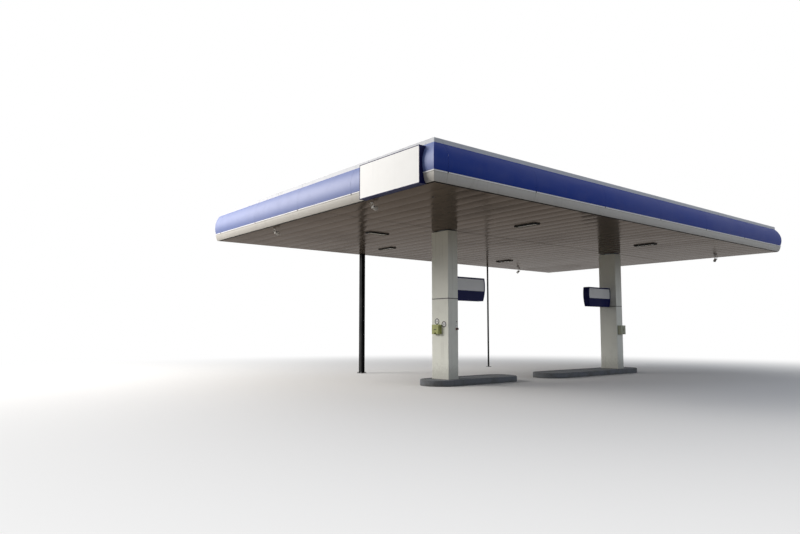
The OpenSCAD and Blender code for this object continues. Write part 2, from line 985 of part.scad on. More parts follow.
module trays(y0, y1) {
    difference() {
        translate([-soffit_out, y1, soffit_z])
            rotate([90, 0, 0])
                linear_extrude(y1 - y0)
                    polygon(concat(
                        tray_lower, [[tray_n * tray_pitch, tray_recess], [tray_n * tray_pitch, tray_h]],
                        flip(tray_upper)
                    ));
        column_cutouts(6);
        post_cutouts(8);
        at_lamps()
            translate([-lamp_w / 2, -lamp_l / 2, -over])
                cube([lamp_w, lamp_l, tray_h + 2 * over]);
    }
}

module soffit_front() {
    color(soffit_white)
        place()
            trays(-soffit_out, seam_y - tray_joint / 2);
}

module soffit_rear() {
    color(soffit_white)
        place()
            trays(seam_y + tray_joint / 2, canopy_d + soffit_out);
}

// Block that hangs from z = 0 and draws in at every side towards its foot
module tapered_block(w, l, h, slope) {
    intersection() {
        translate([0, l / 2, 0])
            rotate([90, 0, 0])
                linear_extrude(l)
                    polygon([[slope - w / 2, -h], [w / 2 - slope, -h], [w / 2, 0], [-w / 2, 0]]);
        translate([-w / 2, 0, 0])
            rotate([90, 0, 90])
                linear_extrude(w)
                    polygon([[slope - l / 2, -h], [l / 2 - slope, -h], [l / 2, 0], [-l / 2, 0]]);
    }
}

// Lamp housing: a pan above the soffit and a tapered frame below it, open at its foot
lamp_frame = 28;
lamp_t = 3;
lamp_lip = 16;
pan_h = 90;
lens_t = 4;
foot_w = lamp_w + 2 * lamp_frame - 2 * lamp_slope;
foot_l = lamp_l + 2 * lamp_frame - 2 * lamp_slope;
module soffit_lamps() {
    inner_w = lamp_w - 2 * lamp_t;
    inner_l = lamp_l - 2 * lamp_t;
    frame_w = lamp_w + 2 * lamp_frame;
    frame_l = lamp_l + 2 * lamp_frame;
    open_w = foot_w - 2 * lamp_lip;
    open_l = foot_l - 2 * lamp_lip;
    color(dark_grey)
        place()
            at_lamps()
                difference() {
                    union() {
                        tapered_block(frame_w, frame_l, lamp_drop, lamp_slope);
                        translate([-lamp_w / 2, -lamp_l / 2, 0])
                            cube([lamp_w, lamp_l, pan_h]);
                    }
                    translate([-inner_w / 2, -inner_l / 2, -lamp_t])
                        cube([inner_w, inner_l, pan_h]);
                    translate([0, 0, -lamp_t])
                        tapered_block(
                            frame_w - 4 * lamp_t, frame_l - 4 * lamp_t,
                            lamp_drop - 2 * lamp_t, lamp_slope - lamp_t
                        );
                    translate([-open_w / 2, -open_l / 2, -lamp_drop - over])
                        cube([open_w, open_l, lamp_drop + over]);
                }
}

// Opal sheets that rest on the lips of the housings
module lamp_lenses() {
    w = foot_w - lamp_lip;
    l = foot_l - lamp_lip;
    color(lens_white)
        place()
            at_lamps()
                translate([-w / 2, -l / 2, lamp_t - lamp_drop])
                    cube([w, l, lens_t]);
}

// Round lamp with a rim and cooling rings, its beam along -z and its pivot at the origin
module spot_head() {
    front = spot_d + 30;
    rim_h = 16;
    difference() {
        union() {
            translate([0, 0, -front])
                cylinder(d = spot_d, h = front + spot_d / 2, $fn = 64);
            translate([0, 0, -front])
                cylinder(d = spot_d + 8, h = rim_h, $fn = 64);
            translate([0, 0, spot_d / 2 - 1])
                cylinder(d = spot_d - 30, h = 34, $fn = 64);
            for (z = [8, 18, 28])
                translate([0, 0, spot_d / 2 + z])
                    cylinder(d = spot_d - 8, h = 5, $fn = 64);
        }
        translate([0, 0, -front - 1])
            cylinder(d = spot_d - 8, h = rim_h - 2, $fn = 64);
    }
}

// A tipped spotlight in a fork on a short stem under the soffit
module spotlight(x, y, turn, tip) {
    arm_t = 4;
    arm_w = 26;
    arm_y = spot_d / 2 + 4;
    fork_z = arm_w / 2 + 12 - spot_drop + spot_d / 2;
    translate([x, y, soffit_z])
        rotate([0, 0, turn]) {
            translate([0, 0, -8])
                cylinder(d = spot_d - 10, h = 8, $fn = 48);
            translate([0, 0, fork_z])
                cylinder(d = 22, h = -4 - fork_z, $fn = 32);
            translate([-arm_w / 2, -arm_y - arm_t, fork_z])
                cube([arm_w, 2 * arm_y + 2 * arm_t, arm_t]);
            for (side = [-1, 1])
                translate([-arm_w / 2, side * (arm_y + arm_t / 2) - arm_t / 2, -spot_drop - arm_w / 2])
                    cube([arm_w, arm_t, fork_z + spot_drop + arm_w / 2 + 1]);
            translate([0, 0, -spot_drop]) {
                rotate([90, 0, 0])
                    translate([0, 0, -arm_y - arm_t - 5])
                        cylinder(d = 16, h = 2 * arm_y + 2 * arm_t + 10, $fn = 32);
                rotate([0, tip, 0])
                    spot_head();
            }
        }
}

module edge_spotlights() {
    color(trim_white)
        place() {
            spotlight(spot_in, spot_y_near, 180, spot_tip_left);
            spotlight(spot_in, spot_y_far, 180, spot_tip_left);
            spotlight(canopy_l - spot_in, spot_y_right, 0, spot_tip_right);
            spotlight(canopy_l - spot_x_back, canopy_d - spot_in, 0, spot_tip_right);
        }
}

// Solid of everything inside the outer faces of the fascia, on the left side
core_in = 200;
module fascia_core() {
    side_run("left", ["square", "mitre"], -reach, -1) {
        intersection() {
            translate([bull_cx, bull_cz])
                circle(bull_r, $fn = 360);
            translate([-core_in, bull_foot_z])
                square([core_in + reach, bull_h]);
        }
        translate([-core_in, bull_top_z])
            square([core_in, trim_h]);
        translate([-core_in, band_face_z])
            square([core_in + lip_o, reveal + lip_h]);
        intersection() {
            translate([band_cx, band_cz])
                circle(band_r, $fn = 360);
            translate([-core_in, band_foot_z])
                square([core_in + reach, band_face_z - band_foot_z]);
        }
    }
}

// The case stops short of the edge angle, and its front lip holds the face
board_t = 4;
board_wall = 3;
board_lip = 14;
board_in = shadow_out + 2;
board_slip = 0.5;
module sign_board_case() {
    color(dark_grey)
        place()
            difference() {
                translate([-board_out, board_y, soffit_z])
                    difference() {
                        cube([board_out, board_l, board_h]);
                        translate([board_wall, board_wall, board_wall])
                            cube([board_out, board_l - 2 * board_wall, board_h - 2 * board_wall]);
                        translate([-over, board_lip, board_lip])
                            cube([2 * over, board_l - 2 * board_lip, board_h - 2 * board_lip]);
                    }
                fascia_core();
                translate([-board_in, board_y - over, soffit_z - over])
                    cube([board_in + over, board_l + 2 * over, board_h + 2 * over]);
            }
}

module sign_board_face() {
    edge = board_wall + board_slip;
    color(lens_white)
        place()
            translate([board_wall - board_out, board_y + edge, soffit_z + edge])
                cube([board_t, board_l - 2 * edge, board_h - 2 * edge]);
}

// Outline of a column sign, bowed at both ends: its inner end meets the casing at x = 0
module sign_outline(inset) {
    intersection() {
        translate([sign_r, sign_crest])
            circle(sign_r - inset, $fn = 360);
        translate([sign_l - sign_r, sign_crest])
            circle(sign_r - inset, $fn = 360);
        translate([inset, inset])
            square([sign_l - 2 * inset, sign_h - 2 * inset]);
    }
}

// The part of that outline above the blue field
module sign_field(inset, lap) {
    intersection() {
        sign_outline(inset);
        translate([0, sign_split - lap])
            square([sign_l, sign_h]);
    }
}

// Stands a flat outline up, t thick and centred over y = 0
module upright(t) {
    translate([0, t / 2, 0])
        rotate([90, 0, 0])
            linear_extrude(t)
                children();
}

// Blocks that fill the wedge between the bowed end and the casing
spacer_w = 80;
spacer_h = 40;
function sign_wedge(dz) = sign_r - sqrt(sign_r * sign_r - dz * dz);
module sign_spacers() {
    for (share = [-0.3, 0.25]) {
        dz = share * sign_h;
        translate([0, -spacer_w / 2, sign_crest + dz - spacer_h / 2])
            cube([sign_wedge(abs(dz) + spacer_h / 2) + sign_skin, spacer_w, spacer_h]);
    }
}

module at_sign(x, turn) {
    place()
        translate([x, col_y, sign_z])
            rotate([0, 0, turn])
                children();
}

// Hollow light box with a window above the blue field on both faces
sign_z = case_joint_z - 20;
sign_skin = 3;
module column_sign(x, turn) {
    color(blue)
        at_sign(x, turn)
            difference() {
                union() {
                    upright(sign_t)
                        sign_outline(0);
                    sign_spacers();
                }
                upright(sign_t - 2 * sign_skin)
                    sign_outline(sign_skin);
                upright(sign_t + 2 * over)
                    sign_field(sign_frame, 0);
            }
}

left_face_x = left_col_x + case_w / 2;
right_face_x = right_col_x - case_w / 2;
module column_sign_left() { column_sign(left_face_x, 0); }
module column_sign_right() { column_sign(right_face_x, 180); }

// Panels that lie behind the windows and lap over their edges, two to each sign
panel_lap = 10;
module column_sign_panels() {
    color(lens_white)
        for (s = [[left_face_x, 0], [right_face_x, 180]])
            at_sign(s[0], s[1])
                for (side = [-1, 1])
                    translate([0, side * (sign_t / 2 - 1.5 * sign_skin), 0])
                        upright(sign_skin)
                            sign_field(sign_frame - panel_lap, panel_lap);
}

// Plan of a towel box, flat against y = 0 and rounded at its front edges
module towel_plan(w, d, r) {
    translate([-w / 2, r - d])
        square([w, d - r]);
    translate([r - w / 2, -d])
        square([w - 2 * r, d]);
    for (side = [-1, 1])
        translate([side * (w / 2 - r), r - d])
            circle(r, $fn = 48);
}

// Towel box with a groove below its lid, a slot at its foot and a notch to take hold
module towel_box(w, h) {
    r = 18;
    groove = 4;
    lid_h = 70;
    slot_d = 50;
    slot_h = 60;
    side_w = 30;
    notch_d = 100;
    difference() {
        linear_extrude(h)
            towel_plan(w, towel_d, r);
        translate([0, 0, h - lid_h])
            linear_extrude(groove)
                difference() {
                    translate([-w, -2 * towel_d])
                        square([2 * w, 2 * towel_d]);
                    towel_plan(w - 2 * groove, towel_d - groove, r - groove);
                }
        translate([side_w - w / 2, -towel_d + side_w / 2, -1])
            cube([w - 2 * side_w, slot_d, slot_h]);
        translate([0, -towel_d / 2, 0])
            rotate([90, 0, 0])
                cylinder(d = notch_d, h = towel_d, $fn = 64);
    }
}

module towel_boxes() {
    color(box_green)
        place() {
            translate([left_col_x - case_w / 2, col_y + left_towel_y, left_towel_z])
                rotate([0, 0, -90])
                    towel_box(left_towel_w, left_towel_h);
            translate([right_col_x + (case_w - right_towel_w) / 2, col_y - case_d / 2, right_towel_z])
                towel_box(right_towel_w, right_towel_h);
        }
}

// Thin round plates with a raised rim, above and beside the left towel box
plate_t = 3;
plate_rim = 14;
plate_air = 4;
module round_plate() {
    cylinder(d = plate_d, h = plate_t, $fn = 96);
    difference() {
        cylinder(d = plate_d, h = 2 * plate_t, $fn = 96);
        translate([0, 0, -1])
            cylinder(d = plate_d - 2 * plate_rim, h = 2 * plate_t + 2, $fn = 96);
    }
}

module round_plates() {
    above_box = left_towel_z + left_towel_h + plate_air + plate_d / 2;
    color(lens_white)
        place()
            for (p = [[plate_y_rear, above_box], [-plate_y_front, plate_z_front]])
                translate([left_col_x - case_w / 2, col_y + p[0], p[1]])
                    rotate([0, -90, 0])
                        round_plate();
}

island_left();
island_right();
column_steel_left();
column_steel_right();
column_skirts();
casing_lower_left();
casing_lower_right();
casing_upper_left();
casing_upper_right();
wall_post();
round_post();
main_girders();
edge_rail();
purlins();
roof_deck();
rain_gutter();
parapet_flashing();
fascia_ribs();
bullnose_front();
bullnose_right();
bullnose_back();
bullnose_left();
lower_band_front();
lower_band_right();
lower_band_back();
lower_band_left();
top_trim_front();
top_trim_right();
top_trim_back();
top_trim_left();
wall_flashing();
soffit_edge_angle();
soffit_rails();
soffit_front();
soffit_rear();
soffit_lamps();
lamp_lenses();
edge_spotlights();
sign_board_case();
sign_board_face();
column_sign_left();
column_sign_right();
column_sign_panels();
towel_boxes();
round_plates();
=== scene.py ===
"""Dresses a packed filling station canopy: finishes, small fittings, stage, lamps and camera.

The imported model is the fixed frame. Every size below is in metres, in that frame: X runs along
the long front, Y to the rear and Z up, with the origin in the middle of the footprint.
"""

import json
import math

import bmesh
import bpy
from mathutils import Euler, Matrix, Vector


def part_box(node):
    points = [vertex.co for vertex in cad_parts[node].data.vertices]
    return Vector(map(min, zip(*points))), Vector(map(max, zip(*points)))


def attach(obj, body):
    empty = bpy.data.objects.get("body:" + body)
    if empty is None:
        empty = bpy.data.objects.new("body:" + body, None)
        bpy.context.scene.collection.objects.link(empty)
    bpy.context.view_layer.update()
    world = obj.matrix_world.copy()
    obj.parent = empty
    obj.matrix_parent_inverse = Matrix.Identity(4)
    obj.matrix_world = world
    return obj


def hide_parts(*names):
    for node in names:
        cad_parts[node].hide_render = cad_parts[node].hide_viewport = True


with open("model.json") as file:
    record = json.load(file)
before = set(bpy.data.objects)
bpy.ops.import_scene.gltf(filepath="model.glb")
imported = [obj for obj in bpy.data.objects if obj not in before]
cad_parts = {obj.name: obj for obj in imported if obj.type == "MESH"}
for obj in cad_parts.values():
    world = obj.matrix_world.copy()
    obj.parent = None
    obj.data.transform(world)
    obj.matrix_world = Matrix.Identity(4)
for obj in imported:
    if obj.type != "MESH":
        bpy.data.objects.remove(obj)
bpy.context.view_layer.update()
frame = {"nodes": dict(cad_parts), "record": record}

bl_info = {
    "name": "Filling Station Canopy",
    "version": (1, 0, 0),
    "blender": (4, 5, 0),
    "location": "3D View > Sidebar > Canopy",
    "description": "Finishes, fittings and a stage for a packed filling station canopy",
    "category": "Object",
}

# Corners of the roof between its trim faces, which the whole plan is set out from
ROOF_LOW = Vector((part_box("top_trim_left")[0].x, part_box("top_trim_front")[0].y, 0.0))
ROOF_HIGH = Vector((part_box("top_trim_right")[1].x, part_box("top_trim_back")[1].y, 0.0))
SOFFIT_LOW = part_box("soffit_front")[0]
SOFFIT_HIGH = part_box("soffit_rear")[1]
SOFFIT_SEAM_Y = (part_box("soffit_front")[1].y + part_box("soffit_rear")[0].y) / 2

# The soffit is shared out evenly in trays of about the wished width
TRAY_WISH = 0.5
TRAY_PITCH = (SOFFIT_HIGH.x - SOFFIT_LOW.x) / round((SOFFIT_HIGH.x - SOFFIT_LOW.x) / TRAY_WISH)

# Open joint between the lower and the upper casing of each column
HANDS = ("left", "right")
CASING_GAP = 0.012
CASING_JOINT_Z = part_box("casing_upper_left")[0].z - CASING_GAP / 2

# Plan places are measured from the corner of the left and the front trim face.
# Lamps: middle and turn in degrees. Spotlights: middle, turn and tilt from straight down.
LAMPS = ((5.44, 2.07, 0), (5.44, 8.53, 0), (11.81, 2.07, 0), (11.81, 8.53, 0), (3.04, 5.95, 90))
LAMP_FOOT = (0.221, 0.716)
LAMP_LIP = 0.016
SPOTLIGHTS = (
    (0.18, 2.39, 180, 76), (0.18, 7.21, 180, 76), (17.37, 2.16, 0, 54), (15.01, 10.42, 0, 54)
)

# Spotlights: drop of the pivot, radius of the head, its reach before and behind the pivot, its rim,
# half the width inside the fork, and how far the pivot stands ahead of the foot
SPOT_DROP = 0.1
SPOT_RADIUS = 0.047
SPOT_FRONT = 0.126
SPOT_REAR = 0.009
SPOT_RIM = 0.016
SPOT_ARM = 0.051
SPOT_LEAN = 0.034
SENSOR_PLACE = (0.883, 1.013)

# Round plates on the left column
PLATE_RADIUS = 0.09
PLATE_RIM = 0.014
PLATE_SHEET = 0.003

# Purlins from front to rear, and ribs of the roof sheets
PURLIN_ROWS = (0.4, 1.54, 2.6, 3.8725, 4.8875, 6.3125, 8.0, 9.06, 10.12)
DECK_RIBS = 57

# Fascia panels between the corner pieces, and the lip on top of the lower band
CORNER_LENGTH = 0.26
PANELS_LONG = 6
PANELS_SHORT = 4
LIP_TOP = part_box("lower_band_front")[1].z
LIP_OUT = ROOF_LOW.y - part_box("lower_band_front")[0].y
LIP_HEIGHT = 0.024


def on_plan(x, y, z=0.0):
    """The place in the frame of one measured on the plan of the roof."""
    return Vector((ROOF_LOW.x + x, ROOF_LOW.y + y, z))


def tone(code):
    """Linear colour, with alpha, of a paint given as six hexadecimal digits."""
    parts = [int(code[i:i + 2], 16) / 255 for i in (0, 2, 4)]
    linear = [p / 12.92 if p <= 0.04045 else ((p + 0.055) / 1.055) ** 2.4 for p in parts]
    return (*linear, 1.0)


def colour_property(label, note, code):
    """A colour that a user may change."""
    return bpy.props.FloatVectorProperty(
        name=label, description=note, subtype="COLOR", size=4, min=0.0, max=1.0, default=tone(code)
    )


class CanopyFinishSettings(bpy.types.PropertyGroup):
    """Colours and wear of the canopy's finishes."""

    blue: colour_property("Fascia Blue", "Gloss paint of the bullnose sheets", "103692")
    band: colour_property("Lower Band", "Paint of the lower fascia band", "C8C6C0")
    trim: colour_property("Top Trim", "Paint of the parapet trim", "CFD3D8")
    fitting: colour_property("Spotlights", "Paint of the edge spotlights", "E4E3DF")
    casing: colour_property("Column Casing", "Paint of the column casings", "EFF2E9")
    # The soffit's tone is darker than the trays' own off-white coating: painted shade under the canopy
    soffit: colour_property("Soffit", "Coating of the soffit trays", "9E958C")
    zinc: colour_property("Zinc", "Galvanised steel", "A3A8AB")
    dark: colour_property("Dark Paint", "Dark parts such as posts and lamp frames", "1F2123")
    navy: colour_property("Board Case", "Sides of the sign board, and the column signs", "0A1250")
    face: colour_property("Sign Face", "Acrylic sign faces", "ECEEEE")
    lens: colour_property("Lamp Lens", "Opal lens of the soffit lamps", "D8D4C6")
    green: colour_property("Towel Box", "Plastic of the towel boxes", "A9AF68")
    concrete: colour_property("Concrete", "Kerbs and island tops", "7C8188")
    grime: colour_property("Grime", "Dust and rain marks", "6E675A")
    age: bpy.props.FloatProperty(
        name="Age", description="How strong dust, streaks and fading are", subtype="FACTOR",
        min=0.0, max=1.0, default=0.5
    )


class CanopyStageSettings(bpy.types.PropertyGroup):
    """Camera, floor and light of the studio."""

    camera_place: bpy.props.FloatVectorProperty(
        name="Camera Place", description="Where the camera stands", subtype="TRANSLATION",
        unit="LENGTH", default=(-17.2483, -14.6383, 1.542)
    )
    camera_turn: bpy.props.FloatProperty(
        name="Camera Turn", description="Turn of the view from the rear towards the right",
        subtype="ANGLE", default=math.radians(39.1655)
    )
    camera_rise: bpy.props.FloatProperty(
        name="Camera Rise", description="Upward tilt of the view", subtype="ANGLE",
        default=math.radians(4.6614)
    )
    focal_pixels: bpy.props.FloatProperty(
        name="Focal Length in Pixels", description="Focal length in a frame 800 wide",
        default=627.12, min=100.0
    )
    axis_drop: bpy.props.FloatProperty(
        name="Axis Drop in Pixels", description="How far the optical axis lies below the middle",
        default=14.55
    )
    sky_level: bpy.props.FloatProperty(
        name="Sky Level", description="Strength of the light from all round", default=0.3, min=0.0
    )
    key_watts: bpy.props.FloatProperty(
        name="Key Power", description="Power of the large softbox", subtype="POWER",
        default=8250.0, min=0.0
    )
    fill_watts: bpy.props.FloatProperty(
        name="Fill Power", description="Power of the weak front softbox", subtype="POWER",
        default=800.0, min=0.0
    )


def add_node(tree, kind, inputs=None, **settings):
    """One shader node with its settings. An input is a value or the socket that feeds it."""
    made = tree.nodes.new(kind)
    for key, value in settings.items():
        setattr(made, key, value)
    fill_inputs(tree, made, inputs or {})
    return made


def fill_inputs(tree, made, inputs):
    """Gives inputs of a node their value, or a link from the socket that feeds them."""
    for key, value in inputs.items():
        if isinstance(value, bpy.types.NodeSocket):
            tree.links.new(value, made.inputs[key])
        else:
            made.inputs[key].default_value = value


def maths(tree, operation, first, second=0.0, third=0.0):
    """Output of a Math node."""
    inputs = {0: first, 1: second, 2: third}
    return add_node(tree, "ShaderNodeMath", inputs, operation=operation).outputs[0]


def times(tree, first, second, plus=0.0):
    """Product of two values, with a third one added."""
    return maths(tree, "MULTIPLY_ADD", first, second, plus)


def distance(tree, value, mark):
    """How far a value lies from a mark on either side."""
    return maths(tree, "ABSOLUTE", maths(tree, "SUBTRACT", value, mark))


def blend(tree, share, first, second, kind="MIX"):
    """Output of a Mix node between two colours."""
    inputs = {0: share, 6: first, 7: second}
    made = add_node(tree, "ShaderNodeMix", inputs, data_type="RGBA", blend_type=kind)
    return made.outputs[2]


def remap(tree, value, low, high, out_low=0.0, out_high=1.0):
    """Smooth step of a value between two limits."""
    inputs = {0: value, 1: low, 2: high, 3: out_low, 4: out_high}
    return add_node(tree, "ShaderNodeMapRange", inputs, interpolation_type="SMOOTHSTEP").outputs[0]


def surface_point(tree):
    """Object coordinates in metres."""
    return add_node(tree, "ShaderNodeTexCoord").outputs["Object"]


def place_along(tree, axis):
    """Object coordinate along the axis X, Y or Z."""
    return add_node(tree, "ShaderNodeSeparateXYZ", {0: surface_point(tree)}).outputs[axis]


def noise(tree, scale, detail=4.0, rough=0.55, factors=(1.0, 1.0, 1.0)):
    """Value of a noise texture, finer along the axes that have the larger factors."""
    inputs = {"Vector": surface_point(tree), "Scale": factors}
    vector = add_node(tree, "ShaderNodeMapping", inputs).outputs[0]
    inputs = {"Vector": vector, "Scale": scale, "Detail": detail, "Roughness": rough}
    return add_node(tree, "ShaderNodeTexNoise", inputs).outputs[0]


def cells(tree, scale):
    """Outputs of a texture of small cells."""
    inputs = {"Vector": surface_point(tree), "Scale": scale}
    return add_node(tree, "ShaderNodeTexVoronoi", inputs).outputs


def start_group(name, inputs, outputs):
    """An empty node group: its tree, its input sockets and its output node."""
    group = bpy.data.node_groups.new(name, "ShaderNodeTree")
    kinds = {"colour": "NodeSocketColor", "value": "NodeSocketFloat"}
    for label, kind, default in inputs:
        socket = group.interface.new_socket(name=label, in_out="INPUT", socket_type=kinds[kind])
        socket.default_value = default
    for label, kind in outputs:
        group.interface.new_socket(name=label, in_out="OUTPUT", socket_type=kinds[kind])
    source = group.nodes.new("NodeGroupInput")
    sink = group.nodes.new("NodeGroupOutput")
    return group, source.outputs, sink


def use_group(tree, name, **inputs):
    """Outputs of a node group placed in a tree."""
    return add_node(tree, "ShaderNodeGroup", inputs, node_tree=bpy.data.node_groups[name]).outputs


def group_paint_film():
    """Paint with slow changes of tone, dust, rain streaks and a fine orange peel."""
    tree, given, sink = start_group(
        "Paint Film",
        [
            ("Paint", "colour", tone("FFFFFF")), ("Grime", "colour", tone("6E675A")),
            ("Age", "value", 0.5), ("Streaks", "value", 0.5), ("Gloss", "value", 0.3),
        ],
        [("Color", "colour"), ("Roughness", "value"), ("Height", "value")],
    )
    slow = noise(tree, 1.0, 3.0, factors=(0.5, 0.5, 0.9))
    dust = remap(tree, noise(tree, 3.2, 7.0, 0.65), 0.45, 0.8)
    runs = remap(tree, noise(tree, 1.0, 3.0, 0.5, factors=(9.0, 9.0, 0.55)), 0.52, 0.78)
    patchy = remap(tree, noise(tree, 1.0, 2.0, factors=(0.35, 0.35, 0.8)), 0.4, 0.65)
    runs = times(tree, times(tree, runs, patchy), given["Streaks"])
    dirt = times(tree, times(tree, dust, 0.16, runs), given["Age"])
    fade = times(tree, remap(tree, slow, 0.35, 0.7), times(tree, given["Age"], 0.16))
    pale = blend(tree, 0.35, given["Paint"], tone("FFFFFF"))
    faded = blend(tree, fade, given["Paint"], pale)
    peel = noise(tree, 220.0, 1.0)
    sag = noise(tree, 1.0, 1.0, factors=(0.9, 0.9, 2.2))
    fill_inputs(tree, sink, {
        "Color": blend(tree, dirt, faded, given["Grime"]),
        "Roughness": times(tree, slow, 0.06, times(tree, dirt, 0.7, given["Gloss"])),
        "Height": times(tree, peel, 0.00003, times(tree, sag, 0.0035)),
    })


def group_splash():
    """Mask of dirt thrown up from the ground, strongest at its foot."""
    tree, given, sink = start_group(
        "Ground Splash", [("Foot", "value", 0.0), ("Reach", "value", 0.5)], [("Mask", "value")]
    )
    height = maths(tree, "SUBTRACT", place_along(tree, "Z"), given["Foot"])
    share = maths(tree, "DIVIDE", height, given["Reach"])
    speckle = maths(tree, "SUBTRACT", noise(tree, 14.0, 6.0, 0.7), 0.5)
    fill_inputs(tree, sink, {"Mask": remap(tree, times(tree, speckle, 0.8, share), 1.0, 0.0)})


def group_cast_grain():
    """Cast concrete: cloudy tone, sand grain, pits and stains."""
    tree, given, sink = start_group(
        "Cast Grain",
        [("Body", "colour", tone("A6A7A0")), ("Stain", "colour", tone("5C5B54")), ("Age", "value", 0.5)],
        [("Color", "colour"), ("Roughness", "value"), ("Height", "value")],
    )
    cloud = noise(tree, 2.6, 5.0, 0.6)
    sand = noise(tree, 260.0, 3.0, 0.7)
    pits = remap(tree, cells(tree, 95.0)["Distance"], 0.10, 0.02)
    stained = times(tree, remap(tree, cloud, 0.42, 0.72), given["Age"])
    body = blend(tree, stained, given["Body"], given["Stain"])
    grain = blend(tree, remap(tree, sand, 0.3, 0.7), tone("8A8A84"), tone("FFFFFF"))
    body = blend(tree, 0.55, body, grain, "MULTIPLY")
    fill_inputs(tree, sink, {
        "Color": blend(tree, times(tree, pits, 0.5), body, given["Stain"]),
        "Roughness": remap(tree, sand, 0.2, 0.8, 0.82, 0.95),
        "Height": times(tree, pits, -0.0012, times(tree, sand, 0.0005)),
    })


def start_finish(name):
    """A new material: its node tree and its Principled shader."""
    material = bpy.data.materials.new(name)
    material.use_nodes = True
    tree = material.node_tree
    tree.nodes.clear()
    shader = add_node(tree, "ShaderNodeBsdfPrincipled")
    add_node(tree, "ShaderNodeOutputMaterial", {"Surface": shader.outputs[0]})
    return tree, shader


# Inputs of the shader behind the plain names of its levels
LEVELS = {
    "metallic": "Metallic", "specular": "Specular IOR Level", "tint": "Specular Tint",
    "coat": "Coat Weight",
}


def feed(tree, shader, colour, roughness, height, strength=1.0, **levels):
    """Leads colour, roughness, a bump height in metres and other levels to the shader."""
    bump = add_node(tree, "ShaderNodeBump", {"Height": height, "Distance": 1.0, "Strength": strength})
    inputs = {"Base Color": colour, "Roughness": roughness, "Normal": bump.outputs[0]}
    inputs.update({LEVELS[level]: value for level, value in levels.items()})
    fill_inputs(tree, shader, inputs)


def paint_over(tree, shader, share, colour):
    """Lays a share of another colour over the one that feeds the shader."""
    under = shader.inputs["Base Color"].links[0].from_socket
    fill_inputs(tree, shader, {"Base Color": blend(tree, share, under, colour)})


def splash_over(tree, shader, foot, reach, share, colour):
    """Lays dirt from the ground over the foot of a piece."""
    mask = use_group(tree, "Ground Splash", Foot=foot, Reach=reach)["Mask"]
    paint_over(tree, shader, times(tree, mask, share), colour)


def paint_finish(name, paint, settings, streaks, gloss, specular, wear=1.0, strength=1.0):
    """A painted or clear coated sheet, whose wear is a share of the age of the others."""
    tree, shader = start_finish(name)
    film = use_group(
        tree, "Paint Film", Paint=paint, Grime=settings.grime, Age=settings.age * wear,
        Streaks=streaks, Gloss=gloss
    )
    feed(tree, shader, film["Color"], film["Roughness"], film["Height"], strength, specular=specular)
    return tree, shader


def cloudy_finish(name, clouds, wear, fresh, worn, roughness, relief, grain=None, **levels):
    """Plain stuff with a cloudy tone, whose relief in metres comes from the clouds or a grain."""
    tree, shader = start_finish(name)
    cloud = noise(tree, *clouds)
    colour = blend(tree, remap(tree, cloud, *wear), fresh, worn)
    bumps = noise(tree, *grain) if grain else cloud
    rough = remap(tree, cloud, 0.3, 0.7, *roughness)
    feed(tree, shader, colour, rough, times(tree, bumps, relief), **levels)


def paled_for_glare(colour, glare_tint, share):
    """A colour paled towards a tint by a share, as painted sun glare."""
    return tuple(part + (pale - part) * share for part, pale in zip(colour, glare_tint))


def finish_fascia_blue(settings):
    """Gloss blue of the bullnose, and a copy for the side towards the sun, paled as painted sun glare
    and given a stronger mirror.
    """
    paint_finish("fascia_blue", settings.blue, settings, streaks=0.12, gloss=0.42, specular=0.1)
    # Painted sun glare: the left bullnose alone is paled towards a light blue
    glare_blue = paled_for_glare(settings.blue, tone("CCE4F6"), 0.13)
    paint_finish("fascia_blue_sunny", glare_blue, settings, streaks=0.12, gloss=0.55, specular=1.0)


def finish_lower_band(settings):
    """Satin grey of the lower band, with a painted highlight on the lip along its top."""
    tree, shader = paint_finish(
        "lower_band", settings.band, settings, streaks=0.35, gloss=0.42, specular=0.2
    )
    # Painted highlight: the lip is paled nearly to white, as if lit from above
    low = LIP_TOP - LIP_HEIGHT
    lip = remap(tree, place_along(tree, "Z"), low - 0.002, low)
    paint_over(tree, shader, times(tree, lip, 0.9), tone("FAFBFD"))


def finish_top_trim(settings):
    """Satin white of the parapet trim."""
    paint_finish("top_trim", settings.trim, settings, streaks=0.45, gloss=0.42, specular=0.25)


def finish_spot_paint(settings):
    """Pale paint of the spotlights."""
    paint_finish("spot_paint", settings.fitting, settings, streaks=0.1, gloss=0.4, specular=0.3)


def finish_casing(settings):
    """Off-white casings, dirty at the foot, with painted shade and some dirt on the sleeve in the open
    joint between upper and lower ones.
    """
    tree, shader = paint_finish(
        "casing", settings.casing, settings, streaks=0.25, gloss=0.36, specular=0.3
    )
    splash_over(tree, shader, foot=0.2, reach=0.55, share=0.42, colour=settings.grime)
    # Painted shade: the sleeve seen in the open joint is darkened nearly to black
    off_joint = distance(tree, place_along(tree, "Z"), CASING_JOINT_Z)
    joint_shade = remap(tree, off_joint, 0.016, 0.008)
    paint_over(tree, shader, joint_shade, tone("1E1D1B"))


def finish_dark_paint(settings):
    """Dark satin paint."""
    paint_finish("dark_paint", settings.dark, settings, streaks=0.15, gloss=0.45, specular=0.05)


def finish_sign_dark(settings):
    """Navy sides of the sign board, and the column signs."""
    paint_finish("sign_dark", settings.navy, settings, streaks=0.1, gloss=0.45, specular=0.04)


def finish_sign_face(settings):
    """Clean acrylic sheet with a faint haze."""
    paint_finish(
        "sign_face", settings.face, settings, streaks=0.2, gloss=0.3, specular=0.2,
        wear=0.35, strength=0.5
    )


